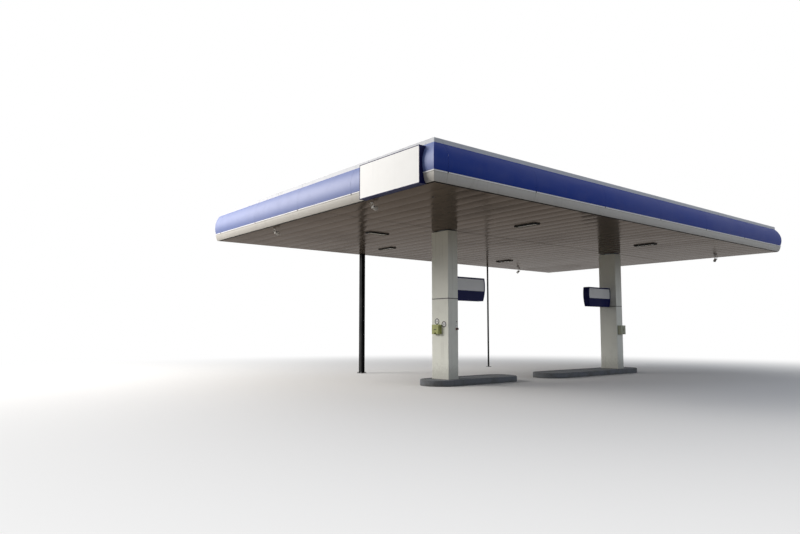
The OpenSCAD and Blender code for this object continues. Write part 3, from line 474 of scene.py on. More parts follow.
def finish_lens(settings):
    """Dusty opal lens with fine prisms."""
    tree, shader = start_finish("lens")
    inputs = {"Vector": surface_point(tree), "Scale": 60.0}
    wave = add_node(tree, "ShaderNodeTexWave", inputs, wave_type="BANDS", bands_direction="Y")
    haze = noise(tree, 7.0, 4.0)
    colour = blend(tree, remap(tree, haze, 0.4, 0.8, 0.0, 0.4), settings.lens, settings.grime)
    rough = remap(tree, haze, 0.2, 0.8, 0.25, 0.45)
    feed(tree, shader, colour, rough, times(tree, wave.outputs["Fac"], 0.0006), specular=0.06)


def finish_box_green(settings):
    """Moulded plastic of the towel boxes, the right one painted greyer for the shade it stands in."""
    tree, shader = start_finish("box_green")
    cloud = noise(tree, 9.0, 5.0)
    # Painted shade: the box right of the middle is turned greyer
    right = maths(tree, "GREATER_THAN", place_along(tree, "X"), 0.0)
    fresh = blend(tree, times(tree, right, 0.75), settings.green, tone("8C9088"))
    dull = blend(tree, remap(tree, cloud, 0.45, 0.8, 0.0, 0.35), fresh, tone("6E7250"))
    grain = noise(tree, 600.0, 2.0)
    feed(tree, shader, dull, remap(tree, cloud, 0.3, 0.7, 0.3, 0.5), times(tree, grain, 0.0001))


def finish_galvanised(settings):
    """Zinc with spangles and dull patches."""
    tree, shader = start_finish("galvanised")
    flake = add_node(tree, "ShaderNodeSeparateColor", {0: cells(tree, 42.0)["Color"]}).outputs[0]
    cloud = noise(tree, 1.8, 5.0, 0.6)
    bright = blend(tree, remap(tree, flake, 0.0, 1.0, 0.0, 0.35), settings.zinc, tone("C9CED1"))
    dull = blend(tree, remap(tree, cloud, 0.45, 0.75, 0.0, 0.6), bright, tone("84888A"))
    rough = times(tree, flake, 0.12, remap(tree, cloud, 0.3, 0.8, 0.36, 0.62))
    feed(tree, shader, dull, rough, times(tree, cloud, 0.0004), metallic=0.75)


def finish_concrete(settings):
    """Cast kerbs and island tops, dirty at the foot."""
    tree, shader = start_finish("concrete")
    cast = use_group(
        tree, "Cast Grain", Body=settings.concrete, Stain=tone("5F5E56"), Age=settings.age
    )
    feed(tree, shader, cast["Color"], cast["Roughness"], cast["Height"])
    splash_over(tree, shader, foot=-0.02, reach=0.12, share=0.55, colour=tone("4A4A44"))


def finish_soffit(settings):
    """Partly metallic trays in a tone darker than their own off-white coating, as painted shade under
    the canopy: each is a little crowned and tilted, with dust along its joints.
    """
    tree, shader = start_finish("soffit")
    count = maths(tree, "SUBTRACT", place_along(tree, "X"), SOFFIT_LOW.x)
    count = maths(tree, "DIVIDE", count, TRAY_PITCH)
    number = maths(tree, "FLOOR", count)
    off_centre = maths(tree, "SUBTRACT", maths(tree, "FRACT", count), 0.5)
    own = add_node(tree, "ShaderNodeTexWhiteNoise", {"W": number}, noise_dimensions="1D").outputs[0]
    tilt = times(tree, maths(tree, "SUBTRACT", own, 0.5), off_centre)
    along = noise(tree, 1.0, 1.0, factors=(1.2, 0.5, 1.0))
    crown = times(tree, times(tree, off_centre, off_centre), -0.016)
    shape = times(tree, along, 0.004, times(tree, tilt, 0.003, crown))
    edge = remap(tree, maths(tree, "ABSOLUTE", off_centre), 0.46, 0.5)
    seam = remap(tree, distance(tree, place_along(tree, "Y"), SOFFIT_SEAM_Y), 0.035, 0.015, 0.0, 1.6)
    edge = maths(tree, "MAXIMUM", edge, seam)
    wide = remap(tree, noise(tree, 1.0, 3.0, factors=(0.5, 0.3, 1.0)), 0.35, 0.75)
    dirt = times(tree, times(tree, edge, 0.5, times(tree, wide, 0.4)), settings.age)
    colour = blend(tree, dirt, settings.soffit, tone("282522"))
    rough = remap(tree, dirt, 0.0, 0.5, 0.14, 0.4)
    feed(tree, shader, colour, rough, shape, metallic=0.58, specular=0.0, tint=tone("9A9490"))


def finish_fixing_steel(settings):
    """Plated steel of screws, nuts and straps, dull and rusty in places."""
    tree, shader = start_finish("fixing_steel")
    cloud = noise(tree, 60.0, 4.0, 0.6)
    colour = blend(tree, remap(tree, cloud, 0.4, 0.7, 0.0, 0.6), tone("B4B7B8"), tone("85827B"))
    spots = remap(tree, noise(tree, 240.0, 3.0), 0.6, 0.75)
    colour = blend(tree, times(tree, spots, settings.age * 0.6), colour, tone("6E4A2E"))
    rough = remap(tree, cloud, 0.3, 0.8, 0.28, 0.55)
    feed(tree, shader, colour, rough, times(tree, cloud, 0.0001), metallic=0.85)


def finish_black_plastic(settings):
    """Moulded black plastic, greyed by weather."""
    cloudy_finish(
        "black_plastic", clouds=(25.0, 5.0), wear=(0.4, 0.75, 0.0, 0.5), fresh=tone("1B1C1E"),
        worn=tone("3A3B3C"), roughness=(0.35, 0.55), relief=0.00008, grain=(900.0, 2.0)
    )


def finish_black_rubber(settings):
    """Dull rubber of gaskets."""
    cloudy_finish(
        "black_rubber", clouds=(40.0, 4.0), wear=(0.4, 0.8), fresh=tone("222222"),
        worn=tone("45433F"), roughness=(0.7, 0.9), relief=0.0002
    )


def finish_sealant(settings):
    """Grey sealant with dust on it."""
    cloudy_finish(
        "sealant", clouds=(30.0, 5.0), wear=(0.4, 0.7), fresh=tone("8C8D8A"),
        worn=settings.grime, roughness=(0.45, 0.7), relief=0.0012
    )


def finish_switch_red(settings):
    """Faded red brown plastic of the stop switch."""
    cloudy_finish(
        "switch_red", clouds=(35.0, 5.0), wear=(0.35, 0.75), fresh=tone("5A1F1C"),
        worn=tone("74443C"), roughness=(0.35, 0.55), relief=0.0002
    )


def finish_spot_glass(settings):
    """Frosted glass of the spotlights."""
    cloudy_finish(
        "spot_glass", clouds=(55.0, 4.0), wear=(0.4, 0.75), fresh=tone("DDE2E2"),
        worn=tone("B5B4A8"), roughness=(0.12, 0.3), relief=0.0003, coat=0.6
    )


FINISHES = (
    finish_fixing_steel, finish_black_plastic, finish_black_rubber, finish_sealant,
    finish_switch_red, finish_spot_glass, finish_spot_paint,
    finish_fascia_blue, finish_lower_band, finish_top_trim, finish_casing, finish_dark_paint,
    finish_sign_dark, finish_sign_face, finish_lens, finish_box_green, finish_galvanised,
    finish_concrete, finish_soffit,
)

# Nodes whose finish is a copy of the one in their material slot, paled as painted sun glare
GLARE_COPIES = {"bullnose_left": "fascia_blue_sunny"}


def dress_nodes():
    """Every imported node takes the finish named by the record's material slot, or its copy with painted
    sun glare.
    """
    for row in frame["record"]["subparts"]:
        node = frame["nodes"][row["node"]]
        finish = GLARE_COPIES.get(row["node"], row["material_slot"])
        node.data.materials.clear()
        node.data.materials.append(bpy.data.materials[finish])


class CANOPY_OT_finishes(bpy.types.Operator):
    """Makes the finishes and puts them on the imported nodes"""

    bl_idname = "canopy.finishes"
    bl_label = "Finishes"

    def execute(self, context):
        for material in list(bpy.data.materials):
            bpy.data.materials.remove(material)
        group_paint_film()
        group_splash()
        group_cast_grain()
        for make in FINISHES:
            make(context.scene.canopy_finish)
        dress_nodes()
        return {"FINISHED"}


def deselect():
    """Nothing is selected, so that the next operator acts on new pieces alone."""
    bpy.ops.object.select_all(action="DESELECT")


def pick(*pieces):
    """Selects these pieces alone; the first is the active one."""
    deselect()
    for piece in pieces:
        piece.select_set(True)
    bpy.context.view_layer.objects.active = pieces[0]


def settle():
    """Takes the place, turn and scale of the selected piece into its mesh."""
    bpy.ops.object.transform_apply(location=True, rotation=True, scale=True)


def smooth(angle):
    """Smooth shading of the active piece, apart from edges sharper than an angle in degrees."""
    bpy.ops.object.shade_smooth_by_angle(angle=math.radians(angle))


def block(size, place=(0.0, 0.0, 0.0)):
    """A block of the given size round a place."""
    deselect()
    bpy.ops.mesh.primitive_cube_add(size=1.0, location=place)
    piece = bpy.context.object
    piece.scale = size
    settle()
    return piece


def prism(radius, height, sides=32, place=(0.0, 0.0, 0.0)):
    """An upright prism that stands on a place."""
    deselect()
    middle = (place[0], place[1], place[2] + height / 2)
    bpy.ops.mesh.primitive_cylinder_add(vertices=sides, radius=radius, depth=height, location=middle)
    settle()
    return bpy.context.object


def is_top(place, facing):
    """Faces that look up."""
    return facing.z > 0.9


def is_underside(place, facing):
    """Faces that look down."""
    return facing.z < -0.9


def is_end(place, facing):
    """Faces that look up or down."""
    return abs(facing.z) > 0.9


def is_hub(place, facing):
    """The face in the middle of a round top."""
    return facing.z > 0.9 and place.xy.length < 1e-5


def is_front(place, facing):
    """Faces that look to the front of the canopy."""
    return facing.y < -0.95


def is_rib(place, facing):
    """Flanks of a knob that stand out as its six ribs."""
    return abs(facing.z) < 0.1 and math.cos(6 * math.atan2(place.y, place.x)) > 0.5


def start_edit(piece, test):
    """Opens a piece in edit mode; faces whose middle and normal pass the test are selected."""
    pick(piece)
    bpy.ops.object.mode_set(mode="EDIT")
    bpy.ops.mesh.select_mode(type="FACE")
    bpy.ops.mesh.select_all(action="DESELECT")
    shape = bmesh.from_edit_mesh(piece.data)
    for face in shape.faces:
        face.select_set(bool(test(face.calc_center_median(), face.normal)))
    bmesh.update_edit_mesh(piece.data)


def end_edit():
    """Closes edit mode."""
    bpy.ops.object.mode_set(mode="OBJECT")


def step_faces(piece, test, *steps):
    """Insets the chosen faces once for each step of width and rise."""
    start_edit(piece, test)
    for width, rise in steps:
        bpy.ops.mesh.inset(thickness=width, depth=rise)
    end_edit()


def draw_faces(piece, test, *steps):
    """Extrudes the chosen faces once for each step of length and widening."""
    start_edit(piece, test)
    for length, widening in steps:
        bpy.ops.mesh.extrude_region_shrink_fatten(
            TRANSFORM_OT_shrink_fatten={"value": length, "use_even_offset": True}
        )
        bpy.ops.transform.resize(value=(widening, widening, 1.0))
    end_edit()


def open_middle(piece, width):
    """Turns an upright block or prism into a ring of the given width."""
    start_edit(piece, is_end)
    bpy.ops.mesh.inset(thickness=width)
    bpy.ops.mesh.bridge_edge_loops()
    end_edit()


def soften(piece, width, segments=2, angle=35.0):
    """Rounds the sharp edges of a piece."""
    pick(piece)
    edges = piece.modifiers.new("edges", "BEVEL")
    edges.width = width
    edges.segments = segments
    edges.limit_method = "ANGLE"
    edges.angle_limit = math.radians(angle)
    bpy.ops.object.modifier_apply(modifier=edges.name)
    smooth(angle)


def line_up(piece, count, step):
    """A row of like pieces along the front."""
    pick(piece)
    row = piece.modifiers.new("row", "ARRAY")
    row.count = count
    row.use_relative_offset = False
    row.use_constant_offset = True
    row.constant_offset_displace = (step, 0.0, 0.0)
    bpy.ops.object.modifier_apply(modifier=row.name)


def join(*pieces):
    """One piece made of several."""
    pick(*pieces)
    bpy.ops.object.join()
    return bpy.context.object


def copies(model, spots):
    """The model copied to each spot, which is a matrix, and all copies made one piece."""
    made = []
    for spot in spots:
        pick(model)
        bpy.ops.object.duplicate(linked=False)
        copy = bpy.context.object
        copy.matrix_world = spot
        settle()
        made.append(copy)
    pick(model)
    bpy.ops.object.delete()
    return join(*made)


def spot(place, turn=(0.0, 0.0, 0.0)):
    """The matrix of a place and a turn in degrees."""
    turned = Euler([math.radians(a) for a in turn]).to_matrix().to_4x4()
    return Matrix.Translation(place) @ turned


def finish_piece(piece, name, finish):
    """Names a finished piece, gives it its finish and lets it ride with the canopy."""
    pick(piece)
    settle()
    piece.name = name
    piece.data.name = name
    piece.data.materials.clear()
    piece.data.materials.append(bpy.data.materials[finish])
    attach(piece, "root")


def anchor_model(radius):
    """Washer, nut and threaded end of a foot anchor, standing on z = 0."""
    washer = prism(radius * 2.2, radius * 0.4, 32)
    soften(washer, radius * 0.08)
    nut = prism(radius * 1.85, radius * 1.6, 6, (0.0, 0.0, radius * 0.4))
    step_faces(nut, is_top, (radius * 0.2, radius * 0.12))
    soften(nut, radius * 0.07)
    stud = prism(radius, radius * 2.2, 24)
    ridges = [(radius * 0.14, share) for share in (0.88, 1 / 0.88) * 5]
    draw_faces(stud, is_top, *ridges, (radius * 0.2, 0.8))
    smooth(35.0)
    return join(washer, nut, stud)


def build_post_anchors():
    """Four anchors in the holes of each post's foot plate."""
    hole_inset = 0.025
    for node, plate, radius in (("wall_post", 0.020, 0.010), ("round_post", 0.012, 0.0065)):
        low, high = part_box(node)
        middle = (low + high) / 2
        half = (high.x - low.x) / 2 - hole_inset
        spots = [
            spot((middle.x + across, middle.y + along, plate))
            for across in (-half, half) for along in (-half, half)
        ]
        finish_piece(copies(anchor_model(radius), spots), node + "_anchors", "fixing_steel")


def screw_model(radius):
    """Pan head screw with a driver recess, its head pointing up."""
    head = prism(radius, radius * 0.35, 16)
    step_faces(head, is_top, (radius * 0.25, radius * 0.16), (radius * 0.35, radius * 0.05))
    step_faces(head, is_hub, (radius * 0.05, -radius * 0.25))
    smooth(40.0)
    return head


# Turn of a fixing whose head points along each direction
FACING = {
    "left": (0.0, -90.0, 0.0), "right": (0.0, 90.0, 0.0),
    "front": (90.0, 0.0, 0.0), "rear": (-90.0, 0.0, 0.0), "down": (180.0, 0.0, 0.0),
}

# The same for a fixing that has to stand the right way up
UPRIGHT = {
    "front": (90.0, 0.0, 0.0), "right": (90.0, 0.0, 90.0),
    "rear": (90.0, 0.0, 180.0), "left": (90.0, 0.0, -90.0),
}


def spots_round(node, z, along_x, along_y):
    """Fixing spots on the four faces of a box-shaped node at one level."""
    low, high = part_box(node)
    middle = (low + high) / 2
    spots = []
    for x in along_x:
        spots.append(spot((middle.x + x, low.y, z), FACING["front"]))
        spots.append(spot((middle.x + x, high.y, z), FACING["rear"]))
    for y in along_y:
        spots.append(spot((low.x, middle.y + y, z), FACING["left"]))
        spots.append(spot((high.x, middle.y + y, z), FACING["right"]))
    return spots


def build_casing_screws():
    """Screws along the joint and the seams of both column casings."""
    joint_rows = (-0.030, 0.042)
    seam_rows = (0.9, 1.7)
    across = (-0.15, 0.15)
    along = (-0.27, -0.09, 0.09, 0.27)
    beside_seam = (-0.035, 0.035)
    for hand in HANDS:
        # The lower casing's box takes in its sleeve, so the joint is measured from the upper one
        node = "casing_upper_" + hand
        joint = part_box(node)[0].z - CASING_GAP
        spots = []
        for rise in joint_rows:
            spots += spots_round(node, joint + rise, across, along)
        for rise in seam_rows:
            spots += spots_round(node, joint + rise, beside_seam, ())
        finish_piece(copies(screw_model(0.0055), spots), "casing_screws_" + hand, "fixing_steel")


def build_foot_sealant():
    """Bead of sealant round the skirting at the foot of each column."""
    skirt_step = 0.005
    width = 0.012
    height = 0.014
    skirt_low, skirt_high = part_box("column_skirts")
    depth = skirt_high.y - skirt_low.y + 2 * width
    for hand in HANDS:
        low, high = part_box("casing_lower_" + hand)
        length = high.x - low.x + 2 * (skirt_step + width)
        place = ((low.x + high.x) / 2, (low.y + high.y) / 2, skirt_low.z + height / 2)
        bead = block((length, depth, height), place)
        open_middle(bead, width + 0.0005)
        soften(bead, 0.0045, 3, 50.0)
        finish_piece(bead, "foot_sealant_" + hand, "sealant")


def panel_joints(length, count):
    """Places of the open joints along a side."""
    step = (length - 2 * CORNER_LENGTH) / count
    return [CORNER_LENGTH + i * step for i in range(count + 1)]


def joint_spots(shift, out, z, turns):
    """Spots beside every joint of the fascia, a shift along and a step out from the trim face."""
    wall_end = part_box("top_trim_back")[0].x + 0.05
    spots = []
    for x in panel_joints(ROOF_HIGH.x - ROOF_LOW.x, PANELS_LONG):
        place = ROOF_LOW.x + x + shift
        spots.append(spot((place, ROOF_LOW.y - out, z), turns["front"]))
        if place > wall_end:
            spots.append(spot((place, ROOF_HIGH.y + out, z), turns["rear"]))
    for y in panel_joints(ROOF_HIGH.y - ROOF_LOW.y, PANELS_SHORT):
        place = ROOF_LOW.y + y + shift
        spots.append(spot((ROOF_HIGH.x + out, place, z), turns["right"]))
        spots.append(spot((ROOF_LOW.x - out, place, z), turns["left"]))
    return spots


def build_trim_rivets():
    """Two rivets on each side of every joint in the top trim."""
    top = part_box("top_trim_front")[1].z
    spots = []
    for drop in (0.025, 0.070):
        for beside in (-0.022, 0.022):
            spots += joint_spots(beside, 0.0, top - drop, FACING)
    rivet = prism(0.0045, 0.0012, 12)
    step_faces(rivet, is_top, (0.0012, 0.0010), (0.0014, 0.0003), (0.0006, -0.0006))
    smooth(60.0)
    finish_piece(copies(rivet, spots), "trim_rivets", "fixing_steel")


def build_lip_clips():
    """Dark clips that close the joints in the lip of the lower band."""
    clip = block((0.024, LIP_HEIGHT + 0.006, 0.006))
    step_faces(clip, is_top, (0.003, 0.0), (0.001, -0.0008))
    soften(clip, 0.0006)
    spots = joint_spots(0.0, LIP_OUT + 0.0025, LIP_TOP - LIP_HEIGHT / 2, UPRIGHT)
    finish_piece(copies(clip, spots), "lip_clips", "black_rubber")


def build_lamp_gaskets():
    """Thin gasket between each lens and its frame, and the screws of the frames."""
    lens_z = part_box("lamp_lenses")[0].z
    width, length = (size - 2 * LAMP_LIP for size in LAMP_FOOT)
    gasket = block((width, length, 0.006), (0.0, 0.0, lens_z - 0.0025))
    open_middle(gasket, 0.007)
    soften(gasket, 0.0015)
    lamps = [spot(on_plan(x, y), (0.0, 0.0, turn)) for x, y, turn in LAMPS]
    finish_piece(copies(gasket, lamps), "lamp_gaskets", "black_rubber")
    frame_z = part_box("soffit_lamps")[0].z
    side = (LAMP_FOOT[0] - LAMP_LIP) / 2
    screws = [
        lamp @ spot((across, along, frame_z), FACING["down"])
        for lamp in lamps for across in (-side, side) for along in (-0.30, 0.0, 0.30)
    ]
    finish_piece(copies(screw_model(0.004), screws), "lamp_screws", "fixing_steel")


def spot_pivot(x, y, turn):
    """Frame of a spotlight's pivot, which its fork holds a little ahead of its foot."""
    foot = spot(on_plan(x, y, SOFFIT_LOW.z - SPOT_DROP), (0.0, 0.0, turn))
    return foot @ Matrix.Translation((-SPOT_LEAN, 0.0, 0.0))


def spot_heads():
    """Frames of the tipped heads, with the beam along -z."""
    return [
        spot_pivot(x, y, turn) @ spot((0.0, 0.0, 0.0), (0.0, tip, 0.0))
        for x, y, turn, tip in SPOTLIGHTS
    ]


def spot_head_model():
    """Round lamp head with a rim, a recessed mouth, cooling rings and its pivot near the rear."""
    rings = [(0.0005, 0.9), (0.0025, 1.0), (0.0005, 1 / 0.9), (0.0035, 1.0)] * 3
    rear = 0.010
    flare = 0.0005
    body = SPOT_FRONT + SPOT_REAR - SPOT_RIM - rear - sum(length for length, widening in rings)
    head = prism(SPOT_RADIUS, body, 48, (0.0, 0.0, SPOT_RIM - SPOT_FRONT))
    draw_faces(head, is_underside, (flare, 1.08), (SPOT_RIM - flare, 1.0))
    step_faces(head, is_underside, (0.004, 0.0), (0.0005, -0.012))
    draw_faces(head, is_top, *rings, (rear - 0.003, 1.0), (0.003, 0.93))
    soften(head, 0.0006, 2, 40.0)
    return head


def spot_fork_model():
    """Fork, stem and round foot that carry a head, with the pivot at the origin."""
    bridge_z = 0.072
    sheet = 0.004
    foot_height = 0.008
    middle_z = bridge_z + sheet / 2
    fork = block((0.026, 2 * (SPOT_ARM + sheet), sheet), (SPOT_LEAN, 0.0, middle_z))
    for side in (-1, 1):
        start_edit(fork, lambda place, facing: True)
        bpy.ops.mesh.bisect(plane_co=(0.0, side * SPOT_ARM, 0.0), plane_no=(0.0, 1.0, 0.0))
        end_edit()
    start_edit(fork, lambda place, facing: is_underside(place, facing) and abs(place.y) > SPOT_ARM)
    bpy.ops.mesh.extrude_region_move(TRANSFORM_OT_translate={"value": (-SPOT_LEAN, 0.0, -bridge_z)})
    bpy.ops.mesh.extrude_region_move(TRANSFORM_OT_translate={"value": (0.0, 0.0, -0.013)})
    bpy.ops.transform.resize(value=(0.5, 1.0, 1.0))
    end_edit()
    soften(fork, 0.001)
    stem = prism(0.010, SPOT_DROP - foot_height - bridge_z, 24, (SPOT_LEAN, 0.0, middle_z))
    soften(stem, 0.0006, 1)
    foot = prism(0.042, foot_height, 48, (SPOT_LEAN, 0.0, SPOT_DROP - foot_height))
    step_faces(foot, is_underside, (0.003, 0.002), (0.020, 0.001))
    soften(foot, 0.0008, 2, 40.0)
    return join(fork, stem, foot)


def build_spotlights():
    """Spotlights along the edges of the soffit, in place of the plain solids."""
    heads = copies(spot_head_model(), spot_heads())
    forks = copies(spot_fork_model(), [spot_pivot(x, y, turn) for x, y, turn, tip in SPOTLIGHTS])
    fittings = join(heads, forks)
    finish_piece(fittings, "edge_spotlight_fittings", "spot_paint")
    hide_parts("edge_spotlights")


def build_spot_glasses():
    """Domed glass in the mouth of each spotlight, and the knobs of its fork."""
    glass = prism(0.0455, 0.004, 48, (0.0, 0.0, 0.0065 - SPOT_FRONT))
    step_faces(glass, is_underside, (0.006, 0.0022), (0.009, 0.0018), (0.010, 0.0010), (0.009, 0.0004))
    smooth(50.0)
    finish_piece(copies(glass, spot_heads()), "spot_glasses", "spot_glass")
    knob = prism(0.013, 0.012, 24)
    step_faces(knob, is_rib, (0.0008, 0.0016))
    step_faces(knob, is_top, (0.002, 0.001), (0.006, -0.001))
    soften(knob, 0.0006, 1)
    knobs = [
        spot_pivot(x, y, turn) @ spot((0.0, side * (SPOT_ARM + 0.004), 0.0), (-90.0 * side, 0.0, 0.0))
        for x, y, turn, tip in SPOTLIGHTS for side in (-1, 1)
    ]
    finish_piece(copies(knob, knobs), "spot_knobs", "black_plastic")


def build_sign_screws():
    """Screws along the frames of both column signs."""
    top_screws = (0.10, 0.40, 0.715, 1.03, 1.33)
    panel_screws = top_screws[1:4]
    spots = []
    for hand, inner in (("left", 1), ("right", -1)):
        low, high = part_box("column_sign_" + hand)
        start = low.x if inner > 0 else high.x
        places = [(across, high.z - 0.023) for across in top_screws]
        places += [(across, low.z + rise) for across in panel_screws for rise in (0.017, 0.293)]
        for across, z in places:
            x = start + inner * across
            spots.append(spot((x, low.y, z), FACING["front"]))
            spots.append(spot((x, high.y, z), FACING["rear"]))
    finish_piece(copies(screw_model(0.0045), spots), "sign_screws", "fixing_steel")


def build_towel_fittings():
    """Lock and window of each towel box."""
    depth = 0.130
    lock_z = (1.745, 1.785)
    window_z = (1.640, 1.650)
    left_low, left_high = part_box("casing_lower_left")
    right_low, right_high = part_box("casing_lower_right")
    left = (left_low.x - depth, (left_low.y + left_high.y) / 2 + 0.080)
    right = ((right_low.x + right_high.x) / 2 + 0.025, right_low.y - depth)
    lock = prism(0.009, 0.004, 24)
    step_faces(lock, is_top, (0.0018, 0.0006), (0.0004, -0.0012))
    start_edit(lock, is_hub)
    bpy.ops.mesh.inset(thickness=0.0042)
    bpy.ops.transform.resize(value=(0.4, 1.6, 1.0))
    bpy.ops.mesh.inset(thickness=0.0003, depth=-0.0015)
    end_edit()
    soften(lock, 0.0003, 1)
    locks = [spot((*left, lock_z[0]), FACING["left"]), spot((*right, lock_z[1]), FACING["front"])]
    finish_piece(copies(lock, locks), "towel_box_locks", "fixing_steel")
    window = block((0.020, 0.110, 0.003))
    soften(window, 0.001)
    step_faces(window, is_top, (0.003, 0.0), (0.001, -0.0012))
    windows = [
        spot((*left, window_z[0]), FACING["left"]), spot((*right, window_z[1]), (90.0, 0.0, 90.0))
    ]
    finish_piece(copies(window, windows), "towel_box_windows", "black_plastic")


def build_plate_rings():
    """Dark ring round the raised rim of each round plate, and the bolt in its middle."""
    ring = prism(PLATE_RADIUS + 0.0015, 0.0045, 64)
    open_middle(ring, PLATE_RIM + 0.010)
    soften(ring, 0.0012, 3)
    bolt = prism(0.014, 0.004, 32)
    step_faces(bolt, is_top, (0.002, 0.0015), (0.006, 0.001), (0.001, -0.0015))
    soften(bolt, 0.0004, 1)
    low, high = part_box("round_plates")
    spots = [
        spot((low.x + PLATE_SHEET, corner.y + inward, corner.z + inward), FACING["left"])
        for corner, inward in ((low, PLATE_RADIUS), (high, -PLATE_RADIUS))
    ]
    finish_piece(copies(join(ring, bolt), spots), "plate_rings", "black_plastic")


def build_column_switch():
    """Stop switch, cover plate and signal on the front of the left column."""
    switch_z = 1.655
    plate_z = 1.742
    signal_z = 1.870
    low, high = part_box("casing_lower_left")
    x = high.x - 0.062
    plate_x = x - 0.004
    housing = block((0.082, 0.046, 0.060), (x, low.y - 0.023, switch_z))
    soften(housing, 0.007, 4)
    step_faces(housing, is_front, (0.006, 0.0), (0.0015, -0.0015))
    finish_piece(housing, "stop_switch_housing", "switch_red")
    knob = prism(0.018, 0.010, 40)
    draw_faces(knob, is_top, (0.004, 1.25), (0.006, 1.0))
    step_faces(knob, is_top, (0.004, 0.003), (0.006, 0.0015))
    soften(knob, 0.0012)
    knob = copies(knob, [spot((x, low.y - 0.0445, switch_z), FACING["front"])])
    finish_piece(knob, "stop_switch_knob", "black_plastic")
    plate = block((0.074, 0.003, 0.034), (plate_x, low.y - 0.0015, plate_z))
    soften(plate, 0.001)
    step_faces(plate, is_front, (0.003, 0.0), (0.0008, -0.0006))
    finish_piece(plate, "cover_plate", "fixing_steel")
    signal = prism(0.014, 0.006, 32)
    step_faces(signal, is_top, (0.002, 0.001), (0.003, 0.003), (0.004, 0.0015))
    smooth(40.0)
    signal = copies(signal, [spot((plate_x, low.y, signal_z), FACING["front"])])
    finish_piece(signal, "signal_button", "black_plastic")


def build_soffit_sensor():
    """Small dark dome sensor near the left front corner of the soffit."""
    dome = ((0.002, 0.001), (0.002, 0.006), (0.002, 0.003), (0.003, 0.0025), (0.005, 0.0012))
    sensor = prism(0.020, 0.003, 32)
    step_faces(sensor, is_top, *dome)
    smooth(35.0)
    sensor = copies(sensor, [spot(on_plan(*SENSOR_PLACE, SOFFIT_LOW.z), FACING["down"])])
    finish_piece(sensor, "soffit_sensor", "black_plastic")


def build_roof_screws():
    """Screws with sealing washers where the roof sheets cross the purlins."""
    crest_share = 0.76
    low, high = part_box("roof_deck")
    pitch = (high.x - low.x) / DECK_RIBS
    washer = prism(0.009, 0.002, 8)
    step_faces(washer, is_top, (0.002, 0.001))
    head = prism(0.0058, 0.005, 6, (0.0, 0.0, 0.003))
    step_faces(head, is_top, (0.001, 0.0006))
    screws = join(washer, head)
    line_up(screws, DECK_RIBS, pitch)
    start = low.x + crest_share * pitch
    rows = [spot((start, ROOF_LOW.y + y, high.z - 0.0002)) for y in PURLIN_ROWS]
    finish_piece(copies(screws, rows), "roof_screws", "fixing_steel")


def build_gutter_straps():
    """Flat straps with bent ends that hold the two sides of the gutter together."""
    sheet = 0.003
    width = 0.025
    end = 0.2
    count = 20
    low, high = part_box("rain_gutter")
    start = low.x + end
    size = (width, high.y - low.y - 2 * sheet, sheet)
    strap = block(size, (start, (low.y + high.y) / 2, high.z - 0.014))
    for wall, inward in ((low.y, 1), (high.y, -1)):
        place = (start, wall + inward * 1.5 * sheet, high.z - 0.026)
        strap = join(strap, block((width, sheet, 0.022), place))
    soften(strap, 0.0006, 1)
    line_up(strap, count, (high.x - low.x - 2 * end) / (count - 1))
    finish_piece(strap, "gutter_straps", "fixing_steel")


def shown_white_share(tree):
    """1 for rays from the camera, mirrors and glass, 0 for those that light the object."""
    rays = add_node(tree, "ShaderNodeLightPath").outputs
    share = maths(tree, "MAXIMUM", rays["Is Camera Ray"], rays["Is Glossy Ray"])
    return maths(tree, "MAXIMUM", share, rays["Is Transmission Ray"])


def build_world(settings):
    """Even light from all round, white where it is seen."""
    world = bpy.data.worlds.new("studio_sky")
    world.use_nodes = True
    tree = world.node_tree
    tree.nodes.clear()
    lighting = add_node(
        tree, "ShaderNodeBackground", {"Color": tone("EEF4FF"), "Strength": settings.sky_level}
    )
    seen = add_node(tree, "ShaderNodeBackground", {"Color": tone("FFFFFF"), "Strength": 1.0})
    both = add_node(
        tree, "ShaderNodeMixShader",
        {0: shown_white_share(tree), 1: lighting.outputs[0], 2: seen.outputs[0]}
    )
    add_node(tree, "ShaderNodeOutputWorld", {"Surface": both.outputs[0]})
    bpy.context.scene.world = world


FLOOR_RADIUS = 150.0
FLOOR_CLEAR = 8.0
FLOOR_WHITE = 24.0


def build_floor():
    """Pale floor that turns into the white background with distance."""
    deselect()
    bpy.ops.mesh.primitive_circle_add(
        vertices=128, radius=FLOOR_RADIUS, fill_type="NGON", location=(0.0, 0.0, 0.0)
    )
    floor = bpy.context.object
    floor.name = "studio_floor"
    tree, shader = start_finish("studio_floor")
    seen = shown_white_share(tree)
    colour = blend(tree, seen, tone("88827A"), tone("EDEDEC"))
    fill_inputs(tree, shader, {"Base Color": colour, "Roughness": 0.9, "Specular IOR Level": 0.1})
    white = add_node(tree, "ShaderNodeEmission", {"Color": tone("FFFFFF"), "Strength": 1.0})
    inputs = {0: surface_point(tree)}
    away = add_node(tree, "ShaderNodeVectorMath", inputs, operation="LENGTH").outputs["Value"]
    share = times(tree, remap(tree, away, FLOOR_CLEAR, FLOOR_WHITE), seen)
    both = add_node(tree, "ShaderNodeMixShader", {0: share, 1: shader.outputs[0], 2: white.outputs[0]})
    output = next(n for n in tree.nodes if n.type == "OUTPUT_MATERIAL")
    tree.links.new(both.outputs[0], output.inputs["Surface"])
    floor.data.materials.append(bpy.data.materials["studio_floor"])


